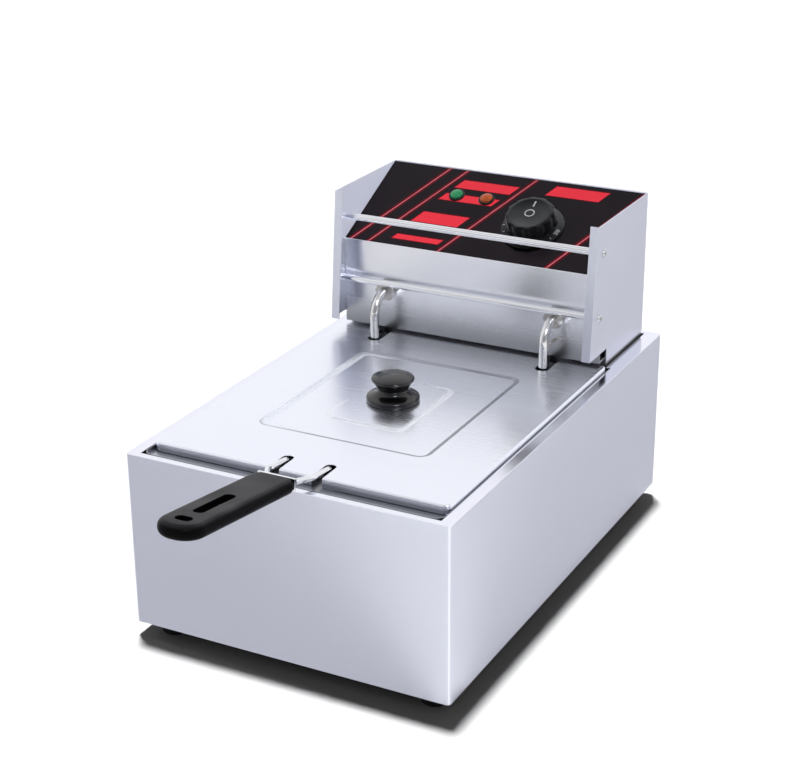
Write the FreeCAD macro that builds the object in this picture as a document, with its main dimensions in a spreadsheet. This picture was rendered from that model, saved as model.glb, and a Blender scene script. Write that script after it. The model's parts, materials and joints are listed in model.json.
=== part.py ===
import FreeCAD, Part
import math
import os
import re
import Sketcher
from FreeCAD import Vector

# Countertop deep fryer: open casing with an oil tank, a lift-out control head that carries the
# heating element, a loose lid and a wire basket with a long grip.
# Every sub-part is drawn from the casing's lower front edge: x to the right, y to the rear, z up.
# Its placement then moves it to the row origin, under the middle of the whole object.

doc = FreeCAD.newDocument("countertop_fryer")
dims = doc.addObject("Spreadsheet::Sheet", "dims")

driving = [
    ("front_y", -152.867, "casing front face, seen from the row origin"),
    ("foot_height", 13, "casing lower edge above the worktop"),
    ("sheet_gauge", 1, "stainless sheet"),
    ("fit_gap", 0.3, "gap between pieces that move apart"),
    ("case_width", 285, "casing outer width"),
    ("case_depth", 440, "casing outer depth"),
    ("case_height", 150.5, "casing outer height"),
    ("corner_radius", 3.5, "casing upright corners, outside"),
    ("rim_fold", 6.5, "casing top edge, folded inwards at the front and the rear"),
    ("rim_gap", 1.2, "casing top edge to the lid and to the head at the sides"),
    ("base_flange", 32, "casing lower edge, folded inwards"),
    ("foot_inset", 23, "foot centre from the casing faces"),
    ("foot_radius", 13, "foot, top"),
    ("foot_tread", 11.5, "foot, where it stands"),
    ("foot_bore", 2.2, "foot screw clearance hole"),
    ("foot_screw", 2, "foot screw shank radius"),
    ("foot_recess", 6, "foot counterbore depth"),
    ("foot_recess_radius", 5, "foot counterbore"),
    ("nut_thickness", 3.2, "foot nut"),
    ("nut_radius", 4, "foot nut across corners, half"),
    ("ledge_height", 144.5, "support frame underside"),
    ("ledge_back", 341, "support frame rear edge"),
    ("tank_half", 112, "tank opening half width"),
    ("tank_front", 38, "tank opening front"),
    ("tank_back", 322, "tank opening rear"),
    ("tank_floor", 20, "tank underside"),
    ("tank_corner", 30, "tank upright corners, inside"),
    ("tank_sweep", 10, "tank floor corners, inside"),
    ("tank_clear", 2, "tank to support frame"),
    ("flange_half", 131.5, "tank flange half width"),
    ("flange_front", 8, "tank flange front"),
    ("flange_back", 338, "tank flange rear"),
    ("flange_corner", 8, "tank flange corners"),
    ("head_half", 127, "head half width over the side panels"),
    ("head_back", 431, "head rear face"),
    ("head_top", 285, "head top edge"),
    ("ear_low_y", 302, "side panel ear, lower front corner"),
    ("ear_low_z", 167, "side panel ear, lower edge"),
    ("ear_top_y", 313.5, "side panel ear, upper front corner"),
    ("ear_fold", 8, "side panel front edge, folded inwards"),
    ("side_low_z", 154.5, "side panel lower edge behind the ear"),
    ("side_step_y", 342, "side panel step from ear to lower edge"),
    ("rear_fold", 11, "side panel rear edge, folded inwards"),
    ("face_y", 328, "head front face"),
    ("face_low_z", 157, "head front face, lower edge"),
    ("panel_low_z", 236.5, "control panel, lower edge"),
    ("panel_tilt", 25.87, "control panel above the horizontal, degrees"),
    ("panel_length", 110, "control panel, lower edge to upper edge"),
    ("film_thickness", 0.4, "control panel film"),
    ("film_margin", 0.5, "control panel film to the sheet's edge"),
    ("tray_front", 343, "head tray front wall"),
    ("tray_floor", 131, "head tray underside"),
    ("tray_top", 165, "head tray side and rear walls, top"),
    ("bracket_front", 345, "head brackets, front end"),
    ("bracket_back", 435.5, "head brackets, rear end"),
    ("bracket_reach", 40, "head brackets from the casing wall"),
    ("bracket_drop", 16, "head brackets down the casing wall"),
    ("rod_radius", 3, "hanger rods"),
    ("upper_rod_y", 325.2, "upper hanger rod"),
    ("upper_rod_z", 259.2, "upper hanger rod"),
    ("lower_rod_y", 319.3, "lower hanger rod"),
    ("lower_rod_z", 202.3, "lower hanger rod"),
    ("rod_screw", 1.5, "hanger rod screw shank radius"),
    ("rod_screw_head", 3.6, "hanger rod screw head radius"),
    ("rod_screw_depth", 9, "hanger rod screw in the rod"),
    ("rod_screw_rise", 2.2, "hanger rod screw head height"),
    ("screw_gap", 0.1, "sheet hole over screw shank"),
    ("tube_radius", 4, "heating element sheath"),
    ("leg_side", 83, "heating element legs, from the middle"),
    ("leg_y", 304, "heating element legs"),
    ("leg_exit_z", 193, "heating element through the head face"),
    ("leg_end_y", 346, "heating element ends inside the head"),
    ("leg_bend", 18, "heating element bends, leg to head and leg to coil"),
    ("coil_z", 36, "heating element coil"),
    ("coil_front", 97, "heating element front turns, centre"),
    ("coil_back", 263, "heating element rear turns, centre"),
    ("coil_pitch", 33.2, "heating element run to run"),
    ("coil_turns", 5, "heating element turns"),
    ("gland_stem", 6.9, "element gland stem radius"),
    ("gland_hex", 9.8, "element gland across corners, half"),
    ("gland_thickness", 5, "element gland hexagon and its nut"),
    ("gland_reach", 11, "element gland stem behind the head face"),
    ("terminal_radius", 2, "element terminal stud"),
    ("terminal_reach", 12, "element terminal stud length"),
    ("bulb_side", 33.2, "thermostat bulb from the middle"),
    ("bulb_radius", 3, "thermostat bulb"),
    ("bulb_front", 120, "thermostat bulb front end"),
    ("bulb_back", 210, "thermostat bulb rear end"),
    ("capillary_radius", 1, "thermostat capillary"),
    ("capillary_z", 46, "capillary over the coil"),
    ("capillary_leg_y", 311, "capillary behind the right leg"),
    ("capillary_exit_z", 172, "capillary through the head face"),
    ("capillary_ramp", 24, "capillary rise behind the bulb"),
    ("capillary_inside", 22, "capillary behind the head face"),
    ("capillary_bend", 10, "capillary bends"),
    ("clip_width", 14, "bulb clip"),
    ("dial_side", 42, "thermostat dial from the middle"),
    ("dial_up", 47, "thermostat dial up the control panel"),
    ("dial_skirt", 28.5, "thermostat dial skirt radius"),
    ("dial_cap", 23, "thermostat dial body radius"),
    ("dial_rise", 18, "thermostat dial top above the film"),
    ("dial_lift", 1, "thermostat dial underside above the film"),
    ("dial_edge", 1.6, "thermostat dial skirt edge"),
    ("dial_flare", 4, "thermostat dial, edge to the foot of its body"),
    ("dial_draft", 0.8, "thermostat dial body, narrower at the top"),
    ("dial_round", 2, "thermostat dial top edge"),
    ("spindle_radius", 3, "thermostat spindle"),
    ("spindle_gap", 0.05, "thermostat spindle running clearance"),
    ("spindle_reach", 11, "thermostat spindle into the dial"),
    ("thermostat_half", 21, "thermostat housing half width"),
    ("thermostat_depth", 28, "thermostat housing depth"),
    ("bush_radius", 5, "thermostat bush"),
    ("bush_rise", 2, "thermostat bush above the film"),
    ("lamp_up", 75, "indicator lamps up the control panel"),
    ("green_side", -45, "power lamp from the middle"),
    ("amber_side", -15, "heating lamp from the middle"),
    ("lamp_radius", 6, "indicator lamp lens"),
    ("lamp_stem", 4.8, "indicator lamp barrel"),
    ("lamp_rise", 3.6, "indicator lamp lens height"),
    ("lamp_depth", 20, "indicator lamp barrel depth"),
    ("panel_hole_gap", 0.2, "control panel hole over what it holds"),
    ("cord_gland_side", -80, "mains gland from the middle"),
    ("cord_gland_z", 190, "mains gland"),
    ("cord_bore", 4.25, "mains gland bore"),
    ("cord_stem", 7.9, "mains gland stem radius"),
    ("cord_hex", 11.5, "mains gland across corners, half"),
    ("cord_hex_depth", 6, "mains gland hexagon and its nut"),
    ("cord_reach", 19, "mains gland behind the head"),
    ("cord_stem_depth", 14, "mains gland stem inside the head"),
    ("strip_left", -60, "terminal block left end"),
    ("strip_length", 60, "terminal block length"),
    ("strip_back", 30, "terminal block to the head's rear face"),
    ("strip_depth", 22, "terminal block depth"),
    ("strip_rise", 17, "terminal block height"),
    ("strip_ways", 4, "terminal block screw wells"),
    ("strip_well", 9, "terminal block screw well depth"),
    ("cutout_half", 16, "high-limit cut-out plate half width"),
    ("cutout_rise", 6, "high-limit cut-out plate half height"),
    ("cutout_radius", 8, "high-limit cut-out can"),
    ("blade_side", 4, "high-limit cut-out blades from the middle"),
    ("blade_half", 0.4, "high-limit cut-out blade half thickness"),
    ("blade_rise", 3, "high-limit cut-out blade half height"),
    ("louvre_half", 45, "rear cover louvre half width"),
    ("louvre_rise", 4, "rear cover louvre height"),
    ("louvre_low_z", 214, "rear cover lowest louvre"),
    ("louvre_pitch", 11, "rear cover louvre spacing"),
    ("louvre_count", 5, "rear cover louvres"),
    ("cover_screw_side", 120.5, "rear cover screws from the middle"),
    ("cover_screw_low", 178, "rear cover lower screws"),
    ("cover_screw_high", 270, "rear cover upper screws"),
    ("lid_half", 131, "lid half width"),
    ("lid_front", 22, "lid front edge"),
    ("lid_back", 334, "lid rear edge"),
    ("lid_low_z", 146.8, "lid rim lower edge"),
    ("lid_top_z", 154.5, "lid top"),
    ("lid_corner", 6, "lid corners"),
    ("lid_edge", 1.6, "lid top edge round"),
    ("press_half", 76, "lid pressing half width"),
    ("press_front", 91, "lid pressing front"),
    ("press_back", 271, "lid pressing rear"),
    ("press_corner", 9, "lid pressing corners"),
    ("plateau_half", 36, "lid plateau half width"),
    ("plateau_front", 128, "lid plateau front"),
    ("plateau_back", 225, "lid plateau rear"),
    ("wire_side", 19, "handle wires and lid slots from the middle"),
    ("slot_half", 4.6, "lid slot half width"),
    ("slot_back", 47.5, "lid slot rear end"),
    ("notch_half", 6, "lid notch half width"),
    ("notch_front", 297, "lid notch front end"),
    ("lid_knob_y", 182, "lid knob"),
    ("lid_knob_skirt", 22.5, "lid knob skirt radius"),
    ("lid_knob_cap", 18.2, "lid knob cap radius"),
    ("lid_knob_rise", 23.5, "lid knob height"),
    ("lid_knob_bore", 2.2, "lid knob screw hole"),
    ("lid_knob_screw", 2, "lid knob screw shank radius"),
    ("lid_washer_radius", 9, "lid knob washer"),
    ("mesh_half", 93, "basket mesh half width"),
    ("mesh_front", 64, "basket mesh front"),
    ("mesh_back", 266, "basket mesh rear"),
    ("mesh_floor", 49, "basket mesh underside"),
    ("mesh_gauge", 1.2, "basket mesh thickness"),
    ("mesh_corner", 15, "basket mesh upright corners"),
    ("mesh_sweep", 12, "basket mesh floor corners"),
    ("rim_height", 139, "basket rim"),
    ("rim_radius", 2, "basket rim wire"),
    ("cradle_side", 45, "basket cradle wires from the middle"),
    ("cradle_radius", 1.5, "basket cradle wires"),
    ("hook_side", 14, "basket hook from the middle"),
    ("hook_reach", 16, "basket hook behind the rim"),
    ("hook_drop", 12, "basket hook below the rim"),
    ("hook_bend", 5, "basket hook bends"),
    ("wire_radius", 2.5, "handle wires"),
    ("wire_leg_y", 44, "handle wire legs in the lid slots"),
    ("wire_top_z", 153, "handle wires over the lid"),
    ("wire_mid_y", 14, "handle wires, start of the taper to the grip"),
    ("wire_mid_z", 157.2, "handle wires, start of the taper to the grip"),
    ("wire_bend", 6.5, "handle wire leg bends"),
    ("wire_sway", 12, "handle wire bends towards the grip"),
    ("wire_lead", 4, "handle wires straight out of the bracket"),
    ("socket_side", 12, "handle wires in the grip, from the middle"),
    ("socket_depth", 26, "handle wires in the grip"),
    ("socket_gap", 0.05, "grip socket over the wire"),
    ("grip_y", -6, "grip inner end"),
    ("grip_z", 159, "grip inner end, middle"),
    ("grip_tilt", 8, "grip above the horizontal, degrees"),
    ("grip_length", 139.5, "grip"),
    ("grip_half", 18.5, "grip half width"),
    ("grip_thickness", 12, "grip"),
    ("grip_end", 17.5, "grip outer end, round in plan"),
    ("grip_shoulder", 7, "grip inner end corners"),
    ("grip_edge", 5.5, "grip edges"),
    ("recess_half", 4.5, "grip recess half width"),
    ("recess_near", 60, "grip recess from the inner end"),
    ("recess_far", 107, "grip recess from the inner end"),
    ("recess_depth", 6, "grip recess"),
    ("hang_half", 6.5, "grip hang hole half width"),
    ("hang_near", 117.5, "grip hang hole from the inner end"),
    ("hang_far", 126.5, "grip hang hole from the inner end"),
    ("ferrule_half", 16.5, "handle bracket half width"),
    ("ferrule_rise", 10, "handle bracket height"),
    ("ferrule_depth", 3, "handle bracket thickness"),
]
for row, (alias, value, meaning) in enumerate(driving, 1):
    dims.set(f"A{row}", meaning)
    dims.set(f"B{row}", str(value))
    dims.setAlias(f"B{row}", alias)
doc.recompute()

nodes = {}


# Working with the sheet: every alias has an underscore, so a formula names aliases plainly.

def formula(words):
    return re.sub(r"[a-z]+(?:_[a-z]+)+", lambda found: "dims." + found.group(), words)


def number(words):
    return float(dims.evalExpression(formula(words)))


def bind(item, setting, words):
    item.setExpression(setting, formula(words))


# Placing: plain pieces move with the casing, tilted ones are drawn on the panel or the grip axis.

def keep(label, item):
    item.Label = label
    nodes[label] = item
    return item


def place(label, item):
    bind(item, "Placement.Base.y", "front_y")
    bind(item, "Placement.Base.z", "foot_height")
    return keep(label, item)


def place_tilted(label, item, y, z, tilt):
    item.Placement = FreeCAD.Placement(Vector(), FreeCAD.Rotation(Vector(1, 0, 0), 1))
    bind(item, "Placement.Base.y", "front_y + " + y)
    bind(item, "Placement.Base.z", "foot_height + " + z)
    bind(item, "Placement.Rotation.Angle", tilt)
    return keep(label, item)


def place_on_panel(label, item):
    return place_tilted(label, item, "face_y", "panel_low_z", "panel_tilt")


def place_on_grip(label, item):
    return place_tilted(label, item, "grip_y", "grip_z", "-grip_tilt")


# Sketch outlines, each corner held by dimensions from the sheet.

def new_body(name):
    return doc.addObject("PartDesign::Body", name + "_body")


def sketch_on(body, role, height="0"):
    sketch = body.newObject("Sketcher::SketchObject", body.Name + "_sketch")
    plane = [feature for feature in body.Origin.OriginFeatures if feature.Role == role][0]
    sketch.AttachmentSupport = [(plane, "")]
    sketch.MapMode = "FlatFace"
    bind(sketch, "AttachmentOffset.Base.z", height)
    return sketch


def hold(sketch, kind, element, point, words):
    index = sketch.addConstraint(Sketcher.Constraint(kind, -1, 1, element, point, number(words)))
    bind(sketch, f"Constraints[{index}]", words)


def add_outline(sketch, corners):
    spots = [Vector(number(across), number(up), 0) for across, up in corners]
    first = sketch.GeometryCount
    count = len(corners)
    for index in range(count):
        sketch.addGeometry(Part.LineSegment(spots[index], spots[(index + 1) % count]), False)
    for index in range(count):
        following = first + (index + 1) % count
        sketch.addConstraint(Sketcher.Constraint("Coincident", first + index, 2, following, 1))
    for index, (across, up) in enumerate(corners):
        hold(sketch, "DistanceX", first + index, 1, across)
        hold(sketch, "DistanceY", first + index, 1, up)
    return sketch


def add_circle(sketch, across, up, radius):
    centre = Vector(number(across), number(up), 0)
    element = sketch.addGeometry(Part.Circle(centre, Vector(0, 0, 1), number(radius)), False)
    hold(sketch, "DistanceX", element, 3, across)
    hold(sketch, "DistanceY", element, 3, up)
    index = sketch.addConstraint(Sketcher.Constraint("Radius", element, number(radius)))
    bind(sketch, f"Constraints[{index}]", radius)
    return sketch


def add_rectangle(sketch, across, up):
    left, right = across
    low, high = up
    return add_outline(sketch, [(left, low), (right, low), (right, high), (left, high)])


def add_rounded(sketch, across, up, radius):
    left, right = (number(words) for words in across)
    low, high = (number(words) for words in up)
    round_size = number(radius)
    spots = [
        (left + round_size, low, right - round_size, low),
        (right, low + round_size, right, high - round_size),
        (right - round_size, high, left + round_size, high),
        (left, high - round_size, left, low + round_size),
    ]
    centres = [
        (right - round_size, low + round_size),
        (right - round_size, high - round_size),
        (left + round_size, high - round_size),
        (left + round_size, low + round_size),
    ]
    lines = []
    arcs = []
    for index, (ax, ay, bx, by) in enumerate(spots):
        line = Part.LineSegment(Vector(ax, ay, 0), Vector(bx, by, 0))
        lines.append(sketch.addGeometry(line, False))
        circle = Part.Circle(Vector(*centres[index], 0), Vector(0, 0, 1), round_size)
        start = math.pi / 2 * (index - 1)
        arc = Part.ArcOfCircle(circle, start, start + math.pi / 2)
        arcs.append(sketch.addGeometry(arc, False))
    for index in range(4):
        following = lines[(index + 1) % 4]
        sketch.addConstraint(Sketcher.Constraint("Tangent", lines[index], 2, arcs[index], 1))
        sketch.addConstraint(Sketcher.Constraint("Tangent", arcs[index], 2, following, 1))
        lie = "Vertical" if index % 2 else "Horizontal"
        sketch.addConstraint(Sketcher.Constraint(lie, lines[index]))
    for arc in arcs[1:]:
        sketch.addConstraint(Sketcher.Constraint("Equal", arcs[0], arc))
    index = sketch.addConstraint(Sketcher.Constraint("Radius", arcs[0], round_size))
    bind(sketch, f"Constraints[{index}]", radius)
    hold(sketch, "DistanceY", lines[0], 1, up[0])
    hold(sketch, "DistanceX", lines[1], 1, across[1])
    hold(sketch, "DistanceY", lines[2], 1, up[1])
    hold(sketch, "DistanceX", lines[3], 1, across[0])
    return sketch


# Features on a body.

def pad(body, sketch, length):
    feature = body.newObject("PartDesign::Pad", body.Name + "_pad")
    feature.Profile = sketch
    bind(feature, "Length", length)
    doc.recompute()
    return feature


def pocket(body, sketch, length):
    before = body.Shape.Volume
    feature = body.newObject("PartDesign::Pocket", body.Name + "_pocket")
    feature.Profile = sketch
    bind(feature, "Length", length)
    doc.recompute()
    least = before * 1e-9
    if before - body.Shape.Volume < least:
        feature.Reversed = True
        doc.recompute()
    if before - body.Shape.Volume < least:
        raise RuntimeError(body.Name + ": a pocket cuts nothing")
    return feature


def revolve(body, sketch):
    feature = body.newObject("PartDesign::Revolution", body.Name + "_turned")
    feature.Profile = sketch
    feature.ReferenceAxis = (sketch, ["V_Axis"])
    feature.Angle = 360
    doc.recompute()
    return feature


def soften(body, radius, chosen):
    base = body.Tip
    names = [f"Edge{index}" for index, edge in enumerate(base.Shape.Edges, 1) if chosen(edge)]
    feature = body.newObject("PartDesign::Fillet", body.Name + "_round")
    feature.Base = (base, names)
    bind(feature, "Radius", radius)
    doc.recompute()
    return feature


def lies_at(height):
    level = number(height)

    def chosen(edge):
        box = edge.BoundBox
        return box.ZLength < 1e-6 and abs(box.ZMin - level) < 1e-6
    return chosen


def stands_at(depth):
    level = number(depth)

    def chosen(edge):
        box = edge.BoundBox
        return box.YLength < 1e-6 and box.XLength < 1e-6 and abs(box.YMin - level) < 1e-6
    return chosen


# Plain solids and what is cut from or joined to them.

turned_to = {
    "x": FreeCAD.Rotation(Vector(0, 1, 0), 90),
    "y": FreeCAD.Rotation(Vector(1, 0, 0), -90),
    "z": FreeCAD.Rotation(),
}


def stand(item, axis, x, y, z):
    item.Placement = FreeCAD.Placement(Vector(), turned_to[axis])
    bind(item, "Placement.Base.x", x)
    bind(item, "Placement.Base.y", y)
    bind(item, "Placement.Base.z", z)
    return item


def block(x, y, z):
    item = doc.addObject("Part::Box", "block")
    for setting, (low, high) in zip(("Length", "Width", "Height"), (x, y, z)):
        bind(item, setting, f"{high} - ({low})")
    return stand(item, "z", x[0], y[0], z[0])


def rod(axis, radius, x, y, z, length):
    item = doc.addObject("Part::Cylinder", "rod")
    bind(item, "Radius", radius)
    bind(item, "Height", length)
    return stand(item, axis, x, y, z)


def hexagon(axis, radius, x, y, z, length):
    item = doc.addObject("Part::Prism", "hexagon")
    item.Polygon = 6
    bind(item, "Circumradius", radius)
    bind(item, "Height", length)
    return stand(item, axis, x, y, z)


def cone(axis, low_radius, high_radius, x, y, z, length):
    item = doc.addObject("Part::Cone", "cone")
    bind(item, "Radius1", low_radius)
    bind(item, "Radius2", high_radius)
    bind(item, "Height", length)
    return stand(item, axis, x, y, z)


def joined(items):
    item = doc.addObject("Part::MultiFuse", "joined")
    item.Shapes = items
    return item


def cut_from(base, tools):
    item = doc.addObject("Part::Cut", "cut")
    item.Base = base
    item.Tool = tools[0] if len(tools) == 1 else joined(tools)
    return item


# Bent wire and tube: straight runs joined by tangent arcs, with a round section.

def bent_path(points, bends):
    edges = []
    start = points[0]
    for corner, following, bend in zip(points[1:], points[2:], bends):
        coming = (corner - start).normalize()
        going = (following - corner).normalize()
        half_turn = coming.getAngle(going) / 2
        reach = bend * math.tan(half_turn)
        inward = (going - coming).normalize()
        enter = corner - coming * reach
        leave = corner + going * reach
        middle = corner + inward * (bend / math.cos(half_turn) - bend)
        if (enter - start).Length > 1e-6:
            edges.append(Part.LineSegment(start, enter).toShape())
        edges.append(Part.Arc(enter, middle, leave).toShape())
        start = leave
    if (points[-1] - start).Length > 1e-6:
        edges.append(Part.LineSegment(start, points[-1]).toShape())
    return Part.Wire(edges)


def swept(path, radius):
    first = path.OrderedEdges[0]
    along = first.tangentAt(first.FirstParameter)
    start = first.valueAt(first.FirstParameter)
    section = Part.Wire([Part.Circle(start, along, radius).toShape()])
    solid = path.makePipeShell([section], True, False)
    expected = math.pi * radius ** 2 * path.Length
    if abs(solid.Volume / expected - 1) > 0.02:
        raise RuntimeError("a swept wire has the wrong volume")
    return solid


def drawn(shapes):
    item = doc.addObject("Part::Feature", "drawn")
    item.Shape = shapes[0] if len(shapes) == 1 else Part.makeCompound(shapes)
    return item


def on_panel(side, up, lift):
    tilt = math.radians(number("panel_tilt"))
    y = number("face_y") + up * math.cos(tilt) - lift * math.sin(tilt)
    z = number("panel_low_z") + up * math.sin(tilt) + lift * math.cos(tilt)
    return Vector(side, y, z)


# Positions that several pieces share.

foot_spots = [
    ("left", "front", "-case_width / 2 + foot_inset", "foot_inset"),
    ("right", "front", "case_width / 2 - foot_inset", "foot_inset"),
    ("left", "rear", "-case_width / 2 + foot_inset", "case_depth - foot_inset"),
    ("right", "rear", "case_width / 2 - foot_inset", "case_depth - foot_inset"),
]
rod_spots = [("upper", "upper_rod_y", "upper_rod_z"), ("lower", "lower_rod_y", "lower_rod_z")]
cover_screw_spots = [
    (side + "cover_screw_side", height)
    for side in ("-", "")
    for height in ("cover_screw_low", "cover_screw_high")
]
leg_sides = ("-leg_side", "leg_side")


# Base: casing, tank, their supports and the feet.

def outer_casing():
    body = new_body("outer_casing")
    wide = ("-case_width / 2", "case_width / 2")
    deep = ("0", "case_depth")
    walls = sketch_on(body, "XY_Plane")
    add_rounded(walls, wide, deep, "corner_radius")
    add_rounded(
        walls,
        ("-case_width / 2 + sheet_gauge", "case_width / 2 - sheet_gauge"),
        ("sheet_gauge", "case_depth - sheet_gauge"),
        "corner_radius - sheet_gauge",
    )
    pad(body, walls, "case_height")
    floor = sketch_on(body, "XY_Plane")
    add_rounded(floor, wide, deep, "corner_radius")
    add_rectangle(
        floor,
        ("-case_width / 2 + base_flange", "case_width / 2 - base_flange"),
        ("base_flange", "case_depth - base_flange"),
    )
    pad(body, floor, "sheet_gauge")
    rim = sketch_on(body, "XY_Plane", "case_height - sheet_gauge")
    add_rounded(rim, wide, deep, "corner_radius")
    step = "flange_back + rim_gap"
    back = "case_depth - rim_fold"
    add_outline(rim, [
        ("-lid_half - rim_gap", "rim_fold"),
        ("lid_half + rim_gap", "rim_fold"),
        ("lid_half + rim_gap", step),
        ("head_half + rim_gap", step),
        ("head_half + rim_gap", back),
        ("-head_half - rim_gap", back),
        ("-head_half - rim_gap", step),
        ("-lid_half - rim_gap", step),
    ])
    pad(body, rim, "sheet_gauge")
    holes = sketch_on(body, "XY_Plane", "sheet_gauge")
    for side, end, x, y in foot_spots:
        add_circle(holes, x, y, "foot_bore")
    pocket(body, holes, "sheet_gauge")
    return place("outer_casing", body)


def base_panel():
    body = new_body("base_panel")
    plate = sketch_on(body, "XY_Plane", "sheet_gauge")
    add_rounded(
        plate,
        ("-case_width / 2 + corner_radius", "case_width / 2 - corner_radius"),
        ("corner_radius", "case_depth - corner_radius"),
        "corner_radius",
    )
    for side, end, x, y in foot_spots:
        add_circle(plate, x, y, "foot_bore")
    pad(body, plate, "sheet_gauge")
    return place("base_panel", body)


def tank_support_frame():
    body = new_body("tank_support_frame")
    ring = sketch_on(body, "XY_Plane", "ledge_height")
    add_rounded(
        ring,
        ("-case_width / 2 + sheet_gauge", "case_width / 2 - sheet_gauge"),
        ("sheet_gauge", "ledge_back"),
        "corner_radius",
    )
    add_rounded(
        ring,
        ("-tank_half - tank_clear", "tank_half + tank_clear"),
        ("tank_front - tank_clear", "tank_back + tank_clear"),
        "tank_corner",
    )
    pad(body, ring, "sheet_gauge")
    return place("tank_support_frame", body)


def oil_tank():
    body = new_body("oil_tank")
    flange = sketch_on(body, "XY_Plane", "ledge_height + sheet_gauge")
    add_rounded(
        flange,
        ("-flange_half", "flange_half"),
        ("flange_front", "flange_back"),
        "flange_corner",
    )
    pad(body, flange, "sheet_gauge")
    tub = sketch_on(body, "XY_Plane", "tank_floor")
    add_rounded(
        tub,
        ("-tank_half - sheet_gauge", "tank_half + sheet_gauge"),
        ("tank_front - sheet_gauge", "tank_back + sheet_gauge"),
        "tank_corner + sheet_gauge",
    )
    pad(body, tub, "ledge_height + sheet_gauge - tank_floor")
    hollow = sketch_on(body, "XY_Plane", "ledge_height + 2 * sheet_gauge")
    add_rounded(
        hollow,
        ("-tank_half", "tank_half"),
        ("tank_front", "tank_back"),
        "tank_corner",
    )
    pocket(body, hollow, "ledge_height + sheet_gauge - tank_floor")
    soften(body, "tank_sweep", lies_at("tank_floor + sheet_gauge"))
    soften(body, "tank_sweep + sheet_gauge", lies_at("tank_floor"))
    return place("oil_tank", body)


def head_brackets():
    top = "tray_floor - fit_gap"
    for label, wall, foot, leg in (
        ("head_bracket_left", "-case_width / 2 + sheet_gauge", "bracket_reach", "sheet_gauge"),
        ("head_bracket_right", "case_width / 2 - sheet_gauge", "-bracket_reach", "-sheet_gauge"),
    ):
        body = new_body(label)
        profile = sketch_on(body, "XZ_Plane", "-bracket_back")
        add_outline(profile, [
            (wall, top),
            (wall, top + " - bracket_drop"),
            (f"{wall} + {leg}", top + " - bracket_drop"),
            (f"{wall} + {leg}", top + " - sheet_gauge"),
            (f"{wall} + {foot}", top + " - sheet_gauge"),
            (f"{wall} + {foot}", top),
        ])
        pad(body, profile, "bracket_back - bracket_front")
        place(label, body)


def feet():
    for side, end, x, y in foot_spots:
        label = f"foot_{end}_{side}"
        body = new_body(label)
        profile = sketch_on(body, "XZ_Plane")
        add_outline(profile, [
            ("foot_recess_radius", "-foot_height"),
            ("foot_tread", "-foot_height"),
            ("foot_radius", "-foot_height / 2"),
            ("foot_radius", "0"),
            ("foot_bore", "0"),
            ("foot_bore", "-foot_height + foot_recess"),
            ("foot_recess_radius", "-foot_height + foot_recess"),
        ])
        revolve(body, profile)
        bind(body, "Placement.Base.x", x)
        bind(body, "Placement.Base.y", "front_y + " + y)
        bind(body, "Placement.Base.z", "foot_height")
        keep(label, body)


def foot_fasteners():
    screws = []
    nuts = []
    seat = "-foot_height + foot_recess"
    head_rise = "foot_recess / 2"
    shank_length = "foot_height - foot_recess + 2 * sheet_gauge + 1.5 * nut_thickness"
    for side, end, x, y in foot_spots:
        head = rod("z", "foot_recess_radius - fit_gap", x, y, f"{seat} - {head_rise}", head_rise)
        shank = rod("z", "foot_screw", x, y, seat, shank_length)
        screws.append(joined([head, shank]))
        nut = hexagon("z", "nut_radius", x, y, "2 * sheet_gauge", "nut_thickness")
        nuts.append(cut_from(nut, [rod("z", "foot_screw", x, y, "0", "foot_height")]))
    place("foot_screws", joined(screws))
    place("foot_nuts", joined(nuts))


# Head: folded sheets, tray and hanger rods.

def side_panels():
    for side, outer, inner, fold in (
        ("left", "-head_half", "-head_half + sheet_gauge", "-head_half + sheet_gauge"),
        ("right", "head_half - sheet_gauge", "head_half - sheet_gauge", "head_half - ear_fold"),
    ):
        label = f"side_panel_{side}"
        body = new_body(label)
        sheet = sketch_on(body, "YZ_Plane", outer)
        add_outline(sheet, [
            ("ear_low_y", "ear_low_z"),
            ("side_step_y", "ear_low_z"),
            ("side_step_y", "side_low_z"),
            ("head_back - sheet_gauge", "side_low_z"),
            ("head_back - sheet_gauge", "head_top"),
            ("ear_top_y", "head_top"),
        ])
        for name, y, z in rod_spots:
            add_circle(sheet, y, z, "rod_screw + screw_gap")
        pad(body, sheet, "sheet_gauge")
        edge = sketch_on(body, "YZ_Plane", fold)
        add_outline(edge, [
            ("ear_low_y", "ear_low_z"),
            ("ear_low_y + sheet_gauge", "ear_low_z"),
            ("ear_top_y + sheet_gauge", "head_top"),
            ("ear_top_y", "head_top"),
        ])
        pad(body, edge, "ear_fold - sheet_gauge")
        rear_start = inner if side == "left" else "head_half - rear_fold"
        rear = sketch_on(body, "YZ_Plane", rear_start)
        add_rectangle(
            rear,
            ("head_back - 2 * sheet_gauge", "head_back - sheet_gauge"),
            ("tray_top + sheet_gauge", "head_top - 2 * sheet_gauge"),
        )
        pad(body, rear, "rear_fold - sheet_gauge")
        holes = sketch_on(body, "XZ_Plane", "-head_back + sheet_gauge")
        sign = "-" if side == "left" else ""
        for height in ("cover_screw_low", "cover_screw_high"):
            add_circle(holes, sign + "cover_screw_side", height, "rod_screw + screw_gap")
        pocket(body, holes, "2 * sheet_gauge")
        place(label, body)


def slope_sketch(body, lift):
    sketch = sketch_on(body, "XY_Plane")
    sketch.AttachmentOffset = FreeCAD.Placement(Vector(), FreeCAD.Rotation(Vector(1, 0, 0), 1))
    bind(sketch, "AttachmentOffset.Base.y", f"face_y - ({lift}) * sin(panel_tilt)")
    bind(sketch, "AttachmentOffset.Base.z", f"panel_low_z + ({lift}) * cos(panel_tilt)")
    bind(sketch, "AttachmentOffset.Rotation.Angle", "panel_tilt")
    return sketch


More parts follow.
